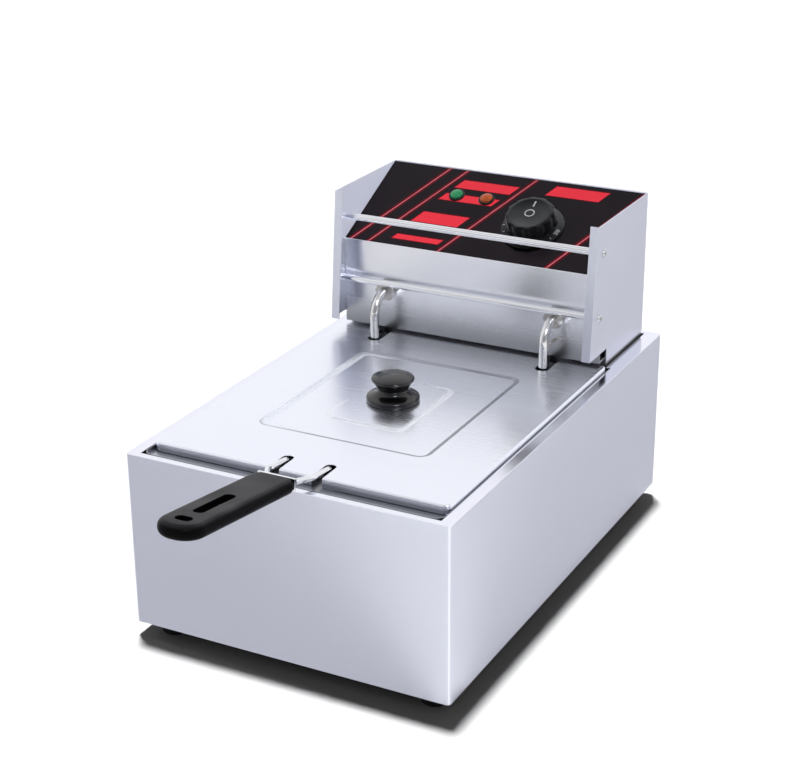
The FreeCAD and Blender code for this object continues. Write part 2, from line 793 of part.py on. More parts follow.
def add_panel_holes(sketch):
    add_circle(sketch, "dial_side", "dial_up", "bush_radius + panel_hole_gap")
    for side in ("green_side", "amber_side"):
        add_circle(sketch, side, "lamp_up", "lamp_stem + panel_hole_gap")


def front_panel():
    body = new_body("front_panel")
    profile = sketch_on(body, "YZ_Plane", "-head_half + sheet_gauge")
    top_y = "face_y + panel_length * cos(panel_tilt)"
    top_z = "panel_low_z + panel_length * sin(panel_tilt)"
    add_outline(profile, [
        ("face_y", "face_low_z"),
        ("face_y + sheet_gauge", "face_low_z"),
        ("face_y + sheet_gauge", "panel_low_z - sheet_gauge * (1 / cos(panel_tilt) - tan(panel_tilt))"),
        (top_y + " + sheet_gauge * sin(panel_tilt)", top_z + " - sheet_gauge * cos(panel_tilt)"),
        (top_y, top_z),
        ("face_y", "panel_low_z"),
    ])
    pad(body, profile, "2 * head_half - 2 * sheet_gauge")
    face_holes = sketch_on(body, "XZ_Plane", "-face_y")
    for side in leg_sides:
        add_circle(face_holes, side, "leg_exit_z", "gland_stem + screw_gap")
    add_circle(face_holes, "leg_side", "capillary_exit_z", "capillary_radius + fit_gap")
    pocket(body, face_holes, "2 * sheet_gauge")
    slope_holes = slope_sketch(body, "0")
    add_panel_holes(slope_holes)
    pocket(body, slope_holes, "2 * sheet_gauge")
    return place("front_panel", body)


def panel_overlay():
    body = new_body("panel_overlay")
    film = sketch_on(body, "XY_Plane")
    add_rectangle(
        film,
        ("-head_half + sheet_gauge + film_margin", "head_half - sheet_gauge - film_margin"),
        ("film_margin", "panel_length - film_margin"),
    )
    add_panel_holes(film)
    pad(body, film, "film_thickness")
    return place_on_panel("panel_overlay", body)


def rear_cover():
    body = new_body("rear_cover")
    profile = sketch_on(body, "YZ_Plane", "-head_half + sheet_gauge")
    lip = "face_y + panel_length * cos(panel_tilt) + sheet_gauge"
    add_outline(profile, [
        ("head_back - sheet_gauge", "side_low_z"),
        ("head_back", "side_low_z"),
        ("head_back", "head_top"),
        (lip, "head_top"),
        (lip, "head_top - sheet_gauge"),
        ("head_back - sheet_gauge", "head_top - sheet_gauge"),
    ])
    pad(body, profile, "2 * head_half - 2 * sheet_gauge")
    openings = sketch_on(body, "XZ_Plane", "-head_back")
    for index in range(int(number("louvre_count"))):
        low = f"louvre_low_z + {index} * louvre_pitch"
        height = (low, low + " + louvre_rise")
        add_rounded(openings, ("-louvre_half", "louvre_half"), height, "0.45 * louvre_rise")
    add_circle(openings, "cord_gland_side", "cord_gland_z", "cord_stem + screw_gap")
    for side, height in cover_screw_spots:
        add_circle(openings, side, height, "rod_screw + screw_gap")
    pocket(body, openings, "2 * sheet_gauge")
    return place("rear_cover", body)


def head_floor():
    body = new_body("head_floor")
    profile = sketch_on(body, "YZ_Plane", "-head_half + 2 * sheet_gauge")
    add_outline(profile, [
        ("face_y + sheet_gauge", "face_low_z"),
        ("tray_front", "face_low_z"),
        ("tray_front", "tray_floor"),
        ("head_back - sheet_gauge", "tray_floor"),
        ("head_back - sheet_gauge", "tray_top"),
        ("head_back - 2 * sheet_gauge", "tray_top"),
        ("head_back - 2 * sheet_gauge", "tray_floor + sheet_gauge"),
        ("tray_front + sheet_gauge", "tray_floor + sheet_gauge"),
        ("tray_front + sheet_gauge", "face_low_z + sheet_gauge"),
        ("face_y + sheet_gauge", "face_low_z + sheet_gauge"),
    ])
    pad(body, profile, "2 * head_half - 4 * sheet_gauge")
    for start in ("-head_half + sheet_gauge", "head_half - 2 * sheet_gauge"):
        wall = sketch_on(body, "YZ_Plane", start)
        add_rectangle(wall, ("tray_front", "head_back - sheet_gauge"), ("tray_floor", "tray_top"))
        pad(body, wall, "sheet_gauge")
    return place("head_floor", body)


def hanger_rods():
    screws = []
    left = "-head_half + sheet_gauge"
    right = "head_half - sheet_gauge - rod_screw_depth"
    crown = "0.6 * rod_screw_head"
    for name, y, z in rod_spots:
        bar = rod("x", "rod_radius", left, y, z, "2 * head_half - 2 * sheet_gauge")
        ends = []
        for start in (left, right):
            ends.append(rod("x", "rod_screw", start, y, z, "rod_screw_depth"))
        place(f"{name}_hanger_rod", cut_from(bar, ends))
        for outer, shank_start, low, high in (
            ("-head_half - rod_screw_rise", "-head_half", crown, "rod_screw_head"),
            ("head_half", right, "rod_screw_head", crown),
        ):
            head = cone("x", low, high, outer, y, z, "rod_screw_rise")
            shank = rod("x", "rod_screw", shank_start, y, z, "rod_screw_depth + sheet_gauge")
            screws.append(joined([head, shank]))
    place("rod_screws", joined(screws))


# Head: heating element, thermostat, lamps and wiring pieces.

def heating_element():
    side = number("leg_side")
    leg_y = number("leg_y")
    exit_z = number("leg_exit_z")
    coil_z = number("coil_z")
    turn = number("coil_pitch") / 2
    front = number("coil_front") - turn
    back = number("coil_back") + turn
    leg_bend = number("leg_bend")
    points = [
        Vector(-side, number("leg_end_y"), exit_z),
        Vector(-side, leg_y, exit_z),
        Vector(-side, leg_y, coil_z),
    ]
    bends = [leg_bend, leg_bend]
    for run in range(int(number("coil_turns"))):
        x = -side + run * 2 * turn
        y = front if run % 2 == 0 else back
        points += [Vector(x, y, coil_z), Vector(x + 2 * turn, y, coil_z)]
        bends += [turn, turn]
    points += [
        Vector(side, leg_y, coil_z),
        Vector(side, leg_y, exit_z),
        Vector(side, number("leg_end_y"), exit_z),
    ]
    bends += [leg_bend, leg_bend]
    return place("heating_element", drawn([swept(bent_path(points, bends), number("tube_radius"))]))


def element_fittings():
    glands = []
    nuts = []
    terminals = []
    for side in leg_sides:
        hexed = hexagon("y", "gland_hex", side, "face_y - gland_thickness", "leg_exit_z", "gland_thickness")
        stem = rod("y", "gland_stem", side, "face_y", "leg_exit_z", "gland_reach")
        bore = rod(
            "y",
            "tube_radius + spindle_gap",
            side,
            "face_y - 2 * gland_thickness",
            "leg_exit_z",
            "gland_reach + 3 * gland_thickness",
        )
        glands.append(cut_from(joined([hexed, stem]), [bore]))
        inside = "face_y + sheet_gauge"
        nut = hexagon("y", "gland_hex", side, inside, "leg_exit_z", "gland_thickness")
        thread = rod("y", "gland_stem + spindle_gap", side, "face_y", "leg_exit_z", "2 * gland_thickness")
        nuts.append(cut_from(nut, [thread]))
        collar = rod("y", "tube_radius", side, "leg_end_y", "leg_exit_z", "terminal_reach / 3")
        stud = rod("y", "terminal_radius", side, "leg_end_y", "leg_exit_z", "terminal_reach")
        terminals.append(joined([collar, stud]))
    place("element_glands", joined(glands))
    place("element_nuts", joined(nuts))
    place("element_terminals", joined(terminals))


def thermostat_bulb():
    coil_z = number("coil_z")
    tip_z = coil_z + number("tube_radius") - number("bulb_radius")
    bulb_side = number("bulb_side")
    over_z = number("capillary_z")
    leg_y = number("capillary_leg_y")
    exit_z = number("capillary_exit_z")
    leg_side = number("leg_side")
    back = number("bulb_back")
    dial_side = number("dial_side")
    dial_up = number("dial_up")
    below = -number("sheet_gauge") - number("thermostat_depth")
    inside = number("face_y") + number("capillary_inside")
    ramp = number("capillary_ramp")
    bend = number("capillary_bend")
    axis = Vector(0, 1, 0)
    bulb = Part.makeCylinder(
        number("bulb_radius"),
        back - number("bulb_front"),
        Vector(bulb_side, number("bulb_front"), tip_z),
        axis,
    )
    route = [
        Vector(bulb_side, back, tip_z),
        Vector(bulb_side, back + ramp, tip_z),
        Vector(bulb_side, back + 2 * ramp, over_z),
        Vector(bulb_side, leg_y, over_z),
        Vector(leg_side, leg_y, over_z),
        Vector(leg_side, leg_y, exit_z),
        Vector(leg_side, inside, exit_z),
        on_panel(dial_side, dial_up, below - ramp),
        on_panel(dial_side, dial_up, below),
    ]
    bends = [2 * bend, 2 * bend] + [bend] * 5
    capillary = swept(bent_path(route, bends), number("capillary_radius"))
    return place("thermostat_bulb", drawn([bulb.fuse(capillary)]))


def bulb_clip():
    top = "coil_z + tube_radius"
    middle = "(bulb_front + bulb_back) / 2"
    reach = "coil_pitch / 2 + tube_radius"
    along = (middle + " - clip_width / 2", middle + " + clip_width / 2")
    strap = block(
        (f"bulb_side - ({reach}) - sheet_gauge", f"bulb_side + {reach} + sheet_gauge"),
        along,
        (top, top + " + sheet_gauge"),
    )
    lugs = []
    for low, high in (
        (f"bulb_side - ({reach}) - sheet_gauge", f"bulb_side - ({reach})"),
        (f"bulb_side + {reach}", f"bulb_side + {reach} + sheet_gauge"),
    ):
        lugs.append(block((low, high), along, ("coil_z", top)))
    return place("bulb_clip", joined([strap] + lugs))


def thermostat_body():
    housing = block(
        ("dial_side - thermostat_half", "dial_side + thermostat_half"),
        ("dial_up - thermostat_half", "dial_up + thermostat_half"),
        ("-sheet_gauge - thermostat_depth", "-sheet_gauge"),
    )
    bush = rod(
        "z",
        "bush_radius",
        "dial_side",
        "dial_up",
        "-sheet_gauge",
        "sheet_gauge + film_thickness + bush_rise",
    )
    bore = rod(
        "z",
        "spindle_radius + spindle_gap",
        "dial_side",
        "dial_up",
        "-thermostat_depth + 4 * sheet_gauge",
        "thermostat_depth + bush_rise",
    )
    return place_on_panel("thermostat_body", cut_from(joined([housing, bush]), [bore]))


def lamps():
    for label, side in (("power_lamp", "green_side"), ("heating_lamp", "amber_side")):
        body = new_body(label)
        profile = sketch_on(body, "XZ_Plane")
        lens = "film_thickness"
        add_outline(profile, [
            ("0", "-lamp_depth"),
            ("lamp_stem", "-lamp_depth"),
            ("lamp_stem", lens),
            ("lamp_radius", lens),
            ("lamp_radius", lens + " + 0.45 * lamp_rise"),
            ("0.72 * lamp_radius", lens + " + 0.9 * lamp_rise"),
            ("0", lens + " + lamp_rise"),
        ])
        revolve(body, profile)
        place_on_panel(label, body)
        bind(body, "Placement.Base.x", side)
        bind(body, "Placement.Base.y", "front_y + face_y + lamp_up * cos(panel_tilt)")
        bind(body, "Placement.Base.z", "foot_height + panel_low_z + lamp_up * sin(panel_tilt)")


def terminal_block():
    floor = "tray_floor + sheet_gauge"
    back = "head_back - strip_back"
    top = floor + " + strip_rise"
    base = block(
        ("strip_left", "strip_left + strip_length"),
        (back + " - strip_depth", back),
        (floor, top),
    )
    wells = []
    for index in range(int(number("strip_ways"))):
        x = f"strip_left + ({index} + 0.5) * strip_length / strip_ways"
        y = back + " - strip_depth / 2"
        wells.append(rod("z", "rod_screw_head", x, y, top + " - strip_well", "2 * strip_well"))
    return place("terminal_block", cut_from(base, wells))


def high_limit_cutout():
    inside = "face_y + sheet_gauge"
    can_end = inside + " + terminal_reach"
    plate = block(
        ("-cutout_half", "cutout_half"),
        (inside, inside + " + sheet_gauge"),
        ("leg_exit_z - cutout_rise", "leg_exit_z + cutout_rise"),
    )
    can = rod("y", "cutout_radius", "0", inside, "leg_exit_z", "terminal_reach")
    blades = []
    for x in ("-blade_side", "blade_side"):
        blades.append(block(
            (x + " - blade_half", x + " + blade_half"),
            (can_end, can_end + " + 0.7 * terminal_reach"),
            ("leg_exit_z - blade_rise", "leg_exit_z + blade_rise"),
        ))
    return place("high_limit_cutout", joined([plate, can] + blades))


def cord_gland():
    spot = ("cord_gland_side", "cord_gland_z")
    hexed = hexagon("y", "cord_hex", spot[0], "head_back", spot[1], "cord_hex_depth")
    dome = cone(
        "y",
        "0.82 * cord_hex",
        "0.62 * cord_hex",
        spot[0],
        "head_back + cord_hex_depth",
        spot[1],
        "cord_reach - cord_hex_depth",
    )
    stem = rod("y", "cord_stem", spot[0], "head_back - cord_stem_depth", spot[1], "cord_stem_depth")
    start = "head_back - 2 * cord_stem_depth"
    bore = rod("y", "cord_bore", spot[0], start, spot[1], "4 * cord_stem_depth")
    place("mains_gland", cut_from(joined([hexed, dome, stem]), [bore]))
    inside = "head_back - sheet_gauge - cord_hex_depth"
    nut = hexagon("y", "cord_hex", spot[0], inside, spot[1], "cord_hex_depth")
    thread = rod("y", "cord_stem + spindle_gap", spot[0], start, spot[1], "3 * cord_stem_depth")
    place("gland_locknut", cut_from(nut, [thread]))


def rear_cover_screws():
    screws = []
    for side, height in cover_screw_spots:
        head = cone(
            "y",
            "rod_screw_head",
            "0.6 * rod_screw_head",
            side,
            "head_back",
            height,
            "rod_screw_rise",
        )
        shank = rod("y", "rod_screw", side, "head_back - rod_screw_depth", height, "rod_screw_depth")
        screws.append(joined([head, shank]))
    return place("rear_cover_screws", joined(screws))


# Thermostat dial, turning on its spindle.

def thermostat_dial():
    body = new_body("thermostat_knob")
    profile = sketch_on(body, "XZ_Plane")
    low = "film_thickness + dial_lift"
    top = "film_thickness + dial_rise"
    socket = "film_thickness + dial_lift + spindle_reach"
    recess = "film_thickness + bush_rise + dial_lift"
    add_outline(profile, [
        ("bush_radius + dial_lift", low),
        ("dial_skirt", low),
        ("dial_skirt", low + " + dial_edge"),
        ("dial_cap + dial_edge", low + " + dial_flare"),
        ("dial_cap", low + " + dial_edge + dial_flare"),
        ("dial_cap - dial_draft", top + " - dial_round"),
        ("dial_cap - dial_draft - dial_round", top),
        ("0", top),
        ("0", socket),
        ("spindle_radius", socket),
        ("spindle_radius", recess),
        ("bush_radius + dial_lift", recess),
    ])
    revolve(body, profile)
    place_on_panel("thermostat_knob", body)
    bind(body, "Placement.Base.x", "dial_side")
    bind(body, "Placement.Base.y", "front_y + face_y + dial_up * cos(panel_tilt)")
    bind(body, "Placement.Base.z", "foot_height + panel_low_z + dial_up * sin(panel_tilt)")
    spindle = new_body("thermostat_shaft")
    section = sketch_on(spindle, "XY_Plane", "-thermostat_depth + 5 * sheet_gauge")
    add_circle(section, "dial_side", "dial_up", "spindle_radius")
    pad(spindle, section, f"thermostat_depth - 5 * sheet_gauge + {socket}")
    place_on_panel("thermostat_shaft", spindle)


# Lid: pressed sheet with a rim, slots for the handle wires and notches for the element legs.

def lid_panel():
    body = new_body("lid_panel")
    slab = sketch_on(body, "XY_Plane", "lid_low_z")
    add_rounded(slab, ("-lid_half", "lid_half"), ("lid_front", "lid_back"), "lid_corner")
    pad(body, slab, "lid_top_z - lid_low_z")
    soften(body, "lid_edge", lies_at("lid_top_z"))
    under = sketch_on(body, "XY_Plane", "lid_low_z")
    add_rounded(
        under,
        ("-lid_half + sheet_gauge", "lid_half - sheet_gauge"),
        ("lid_front + sheet_gauge", "lid_back - sheet_gauge"),
        "lid_corner - sheet_gauge",
    )
    pocket(body, under, "lid_top_z - lid_low_z - sheet_gauge")
    backing = sketch_on(body, "XY_Plane", "lid_top_z - 2 * sheet_gauge")
    add_rounded(
        backing,
        ("-press_half - sheet_gauge", "press_half + sheet_gauge"),
        ("press_front - sheet_gauge", "press_back + sheet_gauge"),
        "press_corner",
    )
    pad(body, backing, "sheet_gauge")
    pressing = sketch_on(body, "XY_Plane", "lid_top_z")
    add_rounded(pressing, ("-press_half", "press_half"), ("press_front", "press_back"), "press_corner")
    pocket(body, pressing, "sheet_gauge")
    plateau = sketch_on(body, "XY_Plane", "lid_top_z - sheet_gauge")
    along = ("plateau_front", "plateau_back")
    add_rounded(plateau, ("-plateau_half", "plateau_half"), along, "press_corner")
    pad(body, plateau, "sheet_gauge")
    openings = sketch_on(body, "XY_Plane", "lid_top_z")
    for side in ("-wire_side", "wire_side"):
        across = (side + " - slot_half", side + " + slot_half")
        add_rounded(openings, across, ("lid_front - lid_corner", "slot_back"), "0.9 * slot_half")
    for side in leg_sides:
        across = (side + " - notch_half", side + " + notch_half")
        add_rounded(openings, across, ("notch_front", "lid_back + lid_corner"), "0.9 * notch_half")
    add_circle(openings, "0", "lid_knob_y", "lid_knob_bore")
    pocket(body, openings, "2 * (lid_top_z - lid_low_z)")
    return place("lid_panel", body)


def lid_knob():
    body = new_body("lid_knob")
    profile = sketch_on(body, "XZ_Plane")
    add_outline(profile, [
        ("lid_knob_bore", "0"),
        ("lid_knob_skirt", "0"),
        ("lid_knob_skirt", "0.1 * lid_knob_rise"),
        ("0.9 * lid_knob_skirt", "0.22 * lid_knob_rise"),
        ("0.58 * lid_knob_skirt", "0.32 * lid_knob_rise"),
        ("0.5 * lid_knob_skirt", "0.45 * lid_knob_rise"),
        ("0.62 * lid_knob_skirt", "0.56 * lid_knob_rise"),
        ("lid_knob_cap", "0.64 * lid_knob_rise"),
        ("lid_knob_cap", "0.82 * lid_knob_rise"),
        ("0.8 * lid_knob_cap", "0.95 * lid_knob_rise"),
        ("0.35 * lid_knob_cap", "lid_knob_rise"),
        ("0", "lid_knob_rise"),
        ("0", "0.62 * lid_knob_rise"),
        ("lid_knob_bore", "0.62 * lid_knob_rise"),
    ])
    revolve(body, profile)
    bind(body, "Placement.Base.y", "front_y + lid_knob_y")
    bind(body, "Placement.Base.z", "foot_height + lid_top_z")
    keep("lid_knob", body)
    seat = "lid_top_z - 3 * sheet_gauge"
    disc = rod("z", "lid_washer_radius", "0", "lid_knob_y", seat, "sheet_gauge")
    hole = rod("z", "lid_knob_bore", "0", "lid_knob_y", "lid_low_z", "foot_height")
    place("lid_knob_washer", cut_from(disc, [hole]))
    thick = "2.5 * sheet_gauge"
    head = rod("z", "lid_washer_radius / 2", "0", "lid_knob_y", f"{seat} - {thick}", thick)
    shank = rod("z", "lid_knob_screw", "0", "lid_knob_y", seat, "3 * sheet_gauge + 0.55 * lid_knob_rise")
    place("lid_knob_screw", joined([head, shank]))


# Basket: mesh tub, rim, cradle, hook and the handle.

def basket_mesh():
    body = new_body("basket_mesh")
    tub = sketch_on(body, "XY_Plane", "mesh_floor")
    add_rounded(tub, ("-mesh_half", "mesh_half"), ("mesh_front", "mesh_back"), "mesh_corner")
    pad(body, tub, "rim_height - mesh_floor")
    hollow = sketch_on(body, "XY_Plane", "rim_height")
    add_rounded(
        hollow,
        ("-mesh_half + mesh_gauge", "mesh_half - mesh_gauge"),
        ("mesh_front + mesh_gauge", "mesh_back - mesh_gauge"),
        "mesh_corner - mesh_gauge",
    )
    pocket(body, hollow, "rim_height - mesh_floor - mesh_gauge")
    soften(body, "mesh_sweep - mesh_gauge", lies_at("mesh_floor + mesh_gauge"))
    soften(body, "mesh_sweep", lies_at("mesh_floor"))
    return place("basket_mesh", body)


def basket_wires():
    wire = number("rim_radius")
    half = number("mesh_half") + wire
    front = number("mesh_front") - wire
    back = number("mesh_back") + wire
    height = number("rim_height")
    corner = number("mesh_corner") + wire
    ring = [
        Vector(0, front, height),
        Vector(half, front, height),
        Vector(half, back, height),
        Vector(-half, back, height),
        Vector(-half, front, height),
        Vector(0, front, height),
    ]
    place("basket_rim", drawn([swept(bent_path(ring, [corner] * 4), wire)]))
    thin = number("cradle_radius")
    cradle_front = number("mesh_front") - thin
    cradle_back = number("mesh_back") + thin
    low = number("mesh_floor") - thin
    sweep = number("mesh_sweep") + thin
    hoops = []
    for side in (-number("cradle_side"), number("cradle_side")):
        hoop = [
            Vector(side, cradle_front, height - wire),
            Vector(side, cradle_front, low),
            Vector(side, cradle_back, low),
            Vector(side, cradle_back, height - wire),
        ]
        hoops.append(swept(bent_path(hoop, [sweep] * 2), thin))
    place("basket_cradle", drawn(hoops))
    hook_side = number("hook_side")
    hook_start = back + wire
    hook_back = hook_start + number("hook_reach")
    hook_low = height - number("hook_drop")
    hook = [
        Vector(-hook_side, hook_start, height),
        Vector(-hook_side, hook_back, height),
        Vector(-hook_side, hook_back, hook_low),
        Vector(hook_side, hook_back, hook_low),
        Vector(hook_side, hook_back, height),
        Vector(hook_side, hook_start, height),
    ]
    place("basket_hook", drawn([swept(bent_path(hook, [number("hook_bend")] * 4), wire)]))


def handle_wires():
    tilt = math.radians(number("grip_tilt"))
    side = number("wire_side")
    socket = number("socket_side")
    leg_y = number("wire_leg_y")
    rim = number("rim_height")
    rim_front = number("mesh_front") - 2 * number("rim_radius")
    bend = number("wire_bend")
    depth = number("socket_depth")
    mouth = number("ferrule_depth") + number("wire_lead")
    sway = number("wire_sway")

    def on_grip(x, along):
        y = number("grip_y") + along * math.cos(tilt)
        z = number("grip_z") - along * math.sin(tilt)
        return Vector(x, y, z)

    wires = []
    for sign in (-1, 1):
        route = [
            on_grip(sign * socket, -depth),
            on_grip(sign * socket, mouth),
            Vector(sign * side, number("wire_mid_y"), number("wire_mid_z")),
            Vector(sign * side, leg_y, number("wire_top_z")),
            Vector(sign * side, leg_y, rim),
            Vector(sign * side, rim_front, rim),
        ]
        wires.append(swept(bent_path(route, [sway, sway, bend, bend]), number("wire_radius")))
    return place("handle_wires", drawn(wires))


def handle_grip():
    body = new_body("handle_grip")
    plan = sketch_on(body, "XY_Plane", "-grip_thickness / 2")
    add_rectangle(plan, ("-grip_half", "grip_half"), ("-grip_length", "0"))
    pad(body, plan, "grip_thickness")
    soften(body, "grip_end", stands_at("-grip_length"))
    soften(body, "grip_shoulder", stands_at("0"))
    soften(body, "grip_edge", lies_at("grip_thickness / 2"))
    soften(body, "grip_edge", lies_at("-grip_thickness / 2"))
    recess = sketch_on(body, "XY_Plane", "grip_thickness / 2")
    along = ("-recess_far", "-recess_near")
    add_rounded(recess, ("-recess_half", "recess_half"), along, "0.9 * recess_half")
    pocket(body, recess, "recess_depth")
    hang = sketch_on(body, "XY_Plane", "grip_thickness / 2")
    along = ("-hang_far", "-hang_near")
    add_rounded(hang, ("-hang_half", "hang_half"), along, "0.45 * (hang_far - hang_near)")
    pocket(body, hang, "2 * grip_thickness")
    sockets = sketch_on(body, "XZ_Plane")
    for side in ("-socket_side", "socket_side"):
        add_circle(sockets, side, "0", "wire_radius + socket_gap")
    pocket(body, sockets, "socket_depth")
    place_on_grip("handle_grip", body)


def handle_bracket():
    plate = block(
        ("-ferrule_half", "ferrule_half"),
        ("0", "ferrule_depth"),
        ("-ferrule_rise / 2", "ferrule_rise / 2"),
    )
    holes = []
    for side in ("-socket_side", "socket_side"):
        holes.append(rod("y", "wire_radius + socket_gap", side, "-ferrule_depth", "0", "3 * ferrule_depth"))
    place_on_grip("handle_bracket", cut_from(plate, holes))


for make in (
    outer_casing,
    base_panel,
    tank_support_frame,
    oil_tank,
    head_brackets,
    feet,
    foot_fasteners,
    side_panels,
    front_panel,
    panel_overlay,
    rear_cover,
    head_floor,
    hanger_rods,
    heating_element,
    element_fittings,
    thermostat_bulb,
    bulb_clip,
    thermostat_body,
    lamps,
    terminal_block,
    high_limit_cutout,
    cord_gland,
    rear_cover_screws,
    thermostat_dial,
    lid_panel,
    lid_knob,
    basket_mesh,
    basket_wires,
    handle_wires,
    handle_grip,
    handle_bracket,
):
    make()
doc.recompute()

for item in doc.Objects:
    if "Invalid" in item.State or "Error" in item.State:
        raise RuntimeError(f"{item.Label} failed: {item.State}")
for label, item in nodes.items():
    if item.Shape.isNull() or not item.Shape.isValid():
        raise RuntimeError(f"{label} has no valid shape")

os.makedirs("parts", exist_ok=True)
whole = FreeCAD.BoundBox()
for label, item in nodes.items():
    item.Shape.exportStep(f"parts/{label}.step")
    whole.add(item.Shape.BoundBox)
    print(f"{label}: {len(item.Shape.Solids)} solids, {item.Shape.Volume / 1000:.2f} cm3")
print(f"{len(nodes)} sub-parts, box {whole}")
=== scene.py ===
import bmesh
import bpy
import json
import math
from functools import reduce
from mathutils import Matrix, Vector
from mathutils.geometry import interpolate_bezier
from operator import or_


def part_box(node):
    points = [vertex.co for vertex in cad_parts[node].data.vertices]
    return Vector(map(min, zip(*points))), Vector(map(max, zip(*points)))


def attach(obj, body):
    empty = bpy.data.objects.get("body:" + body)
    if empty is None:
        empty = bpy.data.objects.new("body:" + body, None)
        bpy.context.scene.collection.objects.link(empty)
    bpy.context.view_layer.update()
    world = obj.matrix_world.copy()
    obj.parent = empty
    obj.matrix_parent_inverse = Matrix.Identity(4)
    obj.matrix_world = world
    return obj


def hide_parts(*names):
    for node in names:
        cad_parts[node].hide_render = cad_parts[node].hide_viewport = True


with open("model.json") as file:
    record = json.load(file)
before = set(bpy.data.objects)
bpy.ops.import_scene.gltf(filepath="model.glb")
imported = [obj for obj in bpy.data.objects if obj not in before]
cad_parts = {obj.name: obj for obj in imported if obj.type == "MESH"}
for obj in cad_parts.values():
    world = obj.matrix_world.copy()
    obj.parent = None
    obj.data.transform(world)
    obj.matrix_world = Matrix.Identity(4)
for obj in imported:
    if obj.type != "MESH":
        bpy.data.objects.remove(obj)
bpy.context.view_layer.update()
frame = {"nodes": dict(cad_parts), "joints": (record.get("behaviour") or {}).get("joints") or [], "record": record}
nodes = frame["nodes"]
joints = {joint["name"]: joint for joint in frame["joints"]}
slotOf = {row["node"]: row["material_slot"] for row in frame["record"]["subparts"]}
bodies = frame["record"]["behaviour"]["bodies"]
bodyOf = {node: body for body, held in bodies.items() for node in held}
mm = 0.001
print("frame loaded:", len(nodes), "nodes")


class Sock:  # one output of a node tree; arithmetic on it adds Math nodes
    def __init__(self, tree, out=None):
        self.tree = tree
        self.out = out

    def node(self, kind, settings=None, values=None, output=0):
        made = self.tree.nodes.new(kind)
        for name, value in (settings or {}).items():
            setattr(made, name, value)
        for key, value in (values or {}).items():
            if isinstance(value, Sock):
                self.tree.links.new(value.out, made.inputs[key])
            else:
                made.inputs[key].default_value = value
        return Sock(self.tree, made.outputs[output] if made.outputs else None)

    def maths(self, operation, first, second=0.0):
        return self.node("ShaderNodeMath", {"operation": operation}, {0: first, 1: second})

    def __add__(self, other):
        return self.maths("ADD", self, other)

    def __sub__(self, other):
        return self.maths("SUBTRACT", self, other)

    def __rsub__(self, other):
        return self.maths("SUBTRACT", other, self)

    def __mul__(self, other):
        return self.maths("MULTIPLY", self, other)

    def __gt__(self, other):
        return self.maths("GREATER_THAN", self, other)

    def __lt__(self, other):
        return self.maths("LESS_THAN", self, other)

    def __abs__(self):
        return self.maths("ABSOLUTE", self)

    def __or__(self, other):  # the larger: either of two masks
        return self.maths("MAXIMUM", self, other)

    def __and__(self, other):  # the smaller: both of two masks
        return self.maths("MINIMUM", self, other)

    __radd__ = __add__
    __rmul__ = __mul__
    __ror__ = __or__
    __rand__ = __and__


# What finishes are made of

mixAt = {"factor": 0, "under": 6, "over": 7, "colour": 2}  # a Mix node's sockets for colours
noiseMiddle = 0.5  # what a noise averages


def newFinish(name, build):
    material = bpy.data.materials.new(name)
    material.use_nodes = True
    material.node_tree.nodes.clear()
    start = Sock(material.node_tree)
    start.node("ShaderNodeOutputMaterial", values={"Surface": build(start)})
    return material


def rowSpot(start):  # place on the part, in metres
    return start.node("ShaderNodeTexCoord", output="Object")


def split(start, vector):  # its x, y and z
    outputs = start.node("ShaderNodeSeparateXYZ", values={"Vector": vector}).out.node.outputs
    return [Sock(start.tree, out) for out in outputs]


def axes(start):  # x, y and z on the part, in millimetres
    return [part * (1 / mm) for part in split(start, rowSpot(start))]


def noise(start, scale, stretch=(1.0, 1.0, 1.0), detail=3.0):
    place = start.node("ShaderNodeMapping", values={"Vector": rowSpot(start), "Scale": stretch})
    values = {"Vector": place, "Scale": scale, "Detail": detail}
    return start.node("ShaderNodeTexNoise", values=values)


def about(noisy, reach):  # a noise as a swing to both sides of nothing
    return (noisy - noiseMiddle) * reach


def smoothStep(start, value, low, high):
    span = {"Value": value, "From Min": low, "From Max": high}
    return start.node("ShaderNodeMapRange", {"interpolation_type": "SMOOTHSTEP"}, span)


def mixed(start, factor, under, over):  # each colour is a socket or three numbers
    values = {mixAt["factor"]: factor}
    for side, colour in (("under", under), ("over", over)):
        values[mixAt[side]] = colour if isinstance(colour, Sock) else (*colour, 1.0)
    return start.node("ShaderNodeMix", {"data_type": "RGBA"}, values, output=mixAt["colour"])


def scaled(colour, share):
    return [share * value for value in colour]


def bumped(start, height, strength, depth):  # depth in millimetres
    values = {"Strength": strength, "Distance": depth * mm, "Height": height}
    return start.node("ShaderNodeBump", values=values)


# Steel finishes

casingLow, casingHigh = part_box("outer_casing")
lidLow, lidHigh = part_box("lid_panel")
casingFront = casingLow.y
casingTop = casingHigh.z / mm
lidFoot = lidLow.z / mm
lidTop = lidHigh.z / mm

allPaintedLines = {"steep": 2.0, "fade": 0.3}  # how sharply a painted crease line ends across and along itself


def paintedLineMask(start, crease):  # a painted line of shade or highlight round a pressing, in millimetres
    x, y = axes(start)[:2]
    y = y - (casingFront / mm + crease["middle"])
    halfX, halfY, corner = crease["half"]
    acrossX = abs(x) - (halfX - corner)
    acrossY = abs(y) - (halfY - corner)
    overX = acrossX | 0.0
    overY = acrossY | 0.0
    outside = start.maths("SQRT", overX * overX + overY * overY)
    inside = (acrossX | acrossY) & 0.0
    off = abs(outside + inside - corner) * (1 / crease["width"])
    line = ((1.0 - off) | 0.0) * allPaintedLines["steep"] & 1.0
    leanX, leanY = crease["towards"]
    lean = x * (leanX / halfX) + y * (leanY / halfY)
    low = crease["from"] - allPaintedLines["fade"]
    high = crease["from"] + allPaintedLines["fade"]
    return line * smoothStep(start, lean, low, high) * crease["weight"]


def bandMask(start, band):  # grows from one height to another, in millimetres
    return smoothStep(start, axes(start)[2], band["from"], band["to"]) * band["weight"]


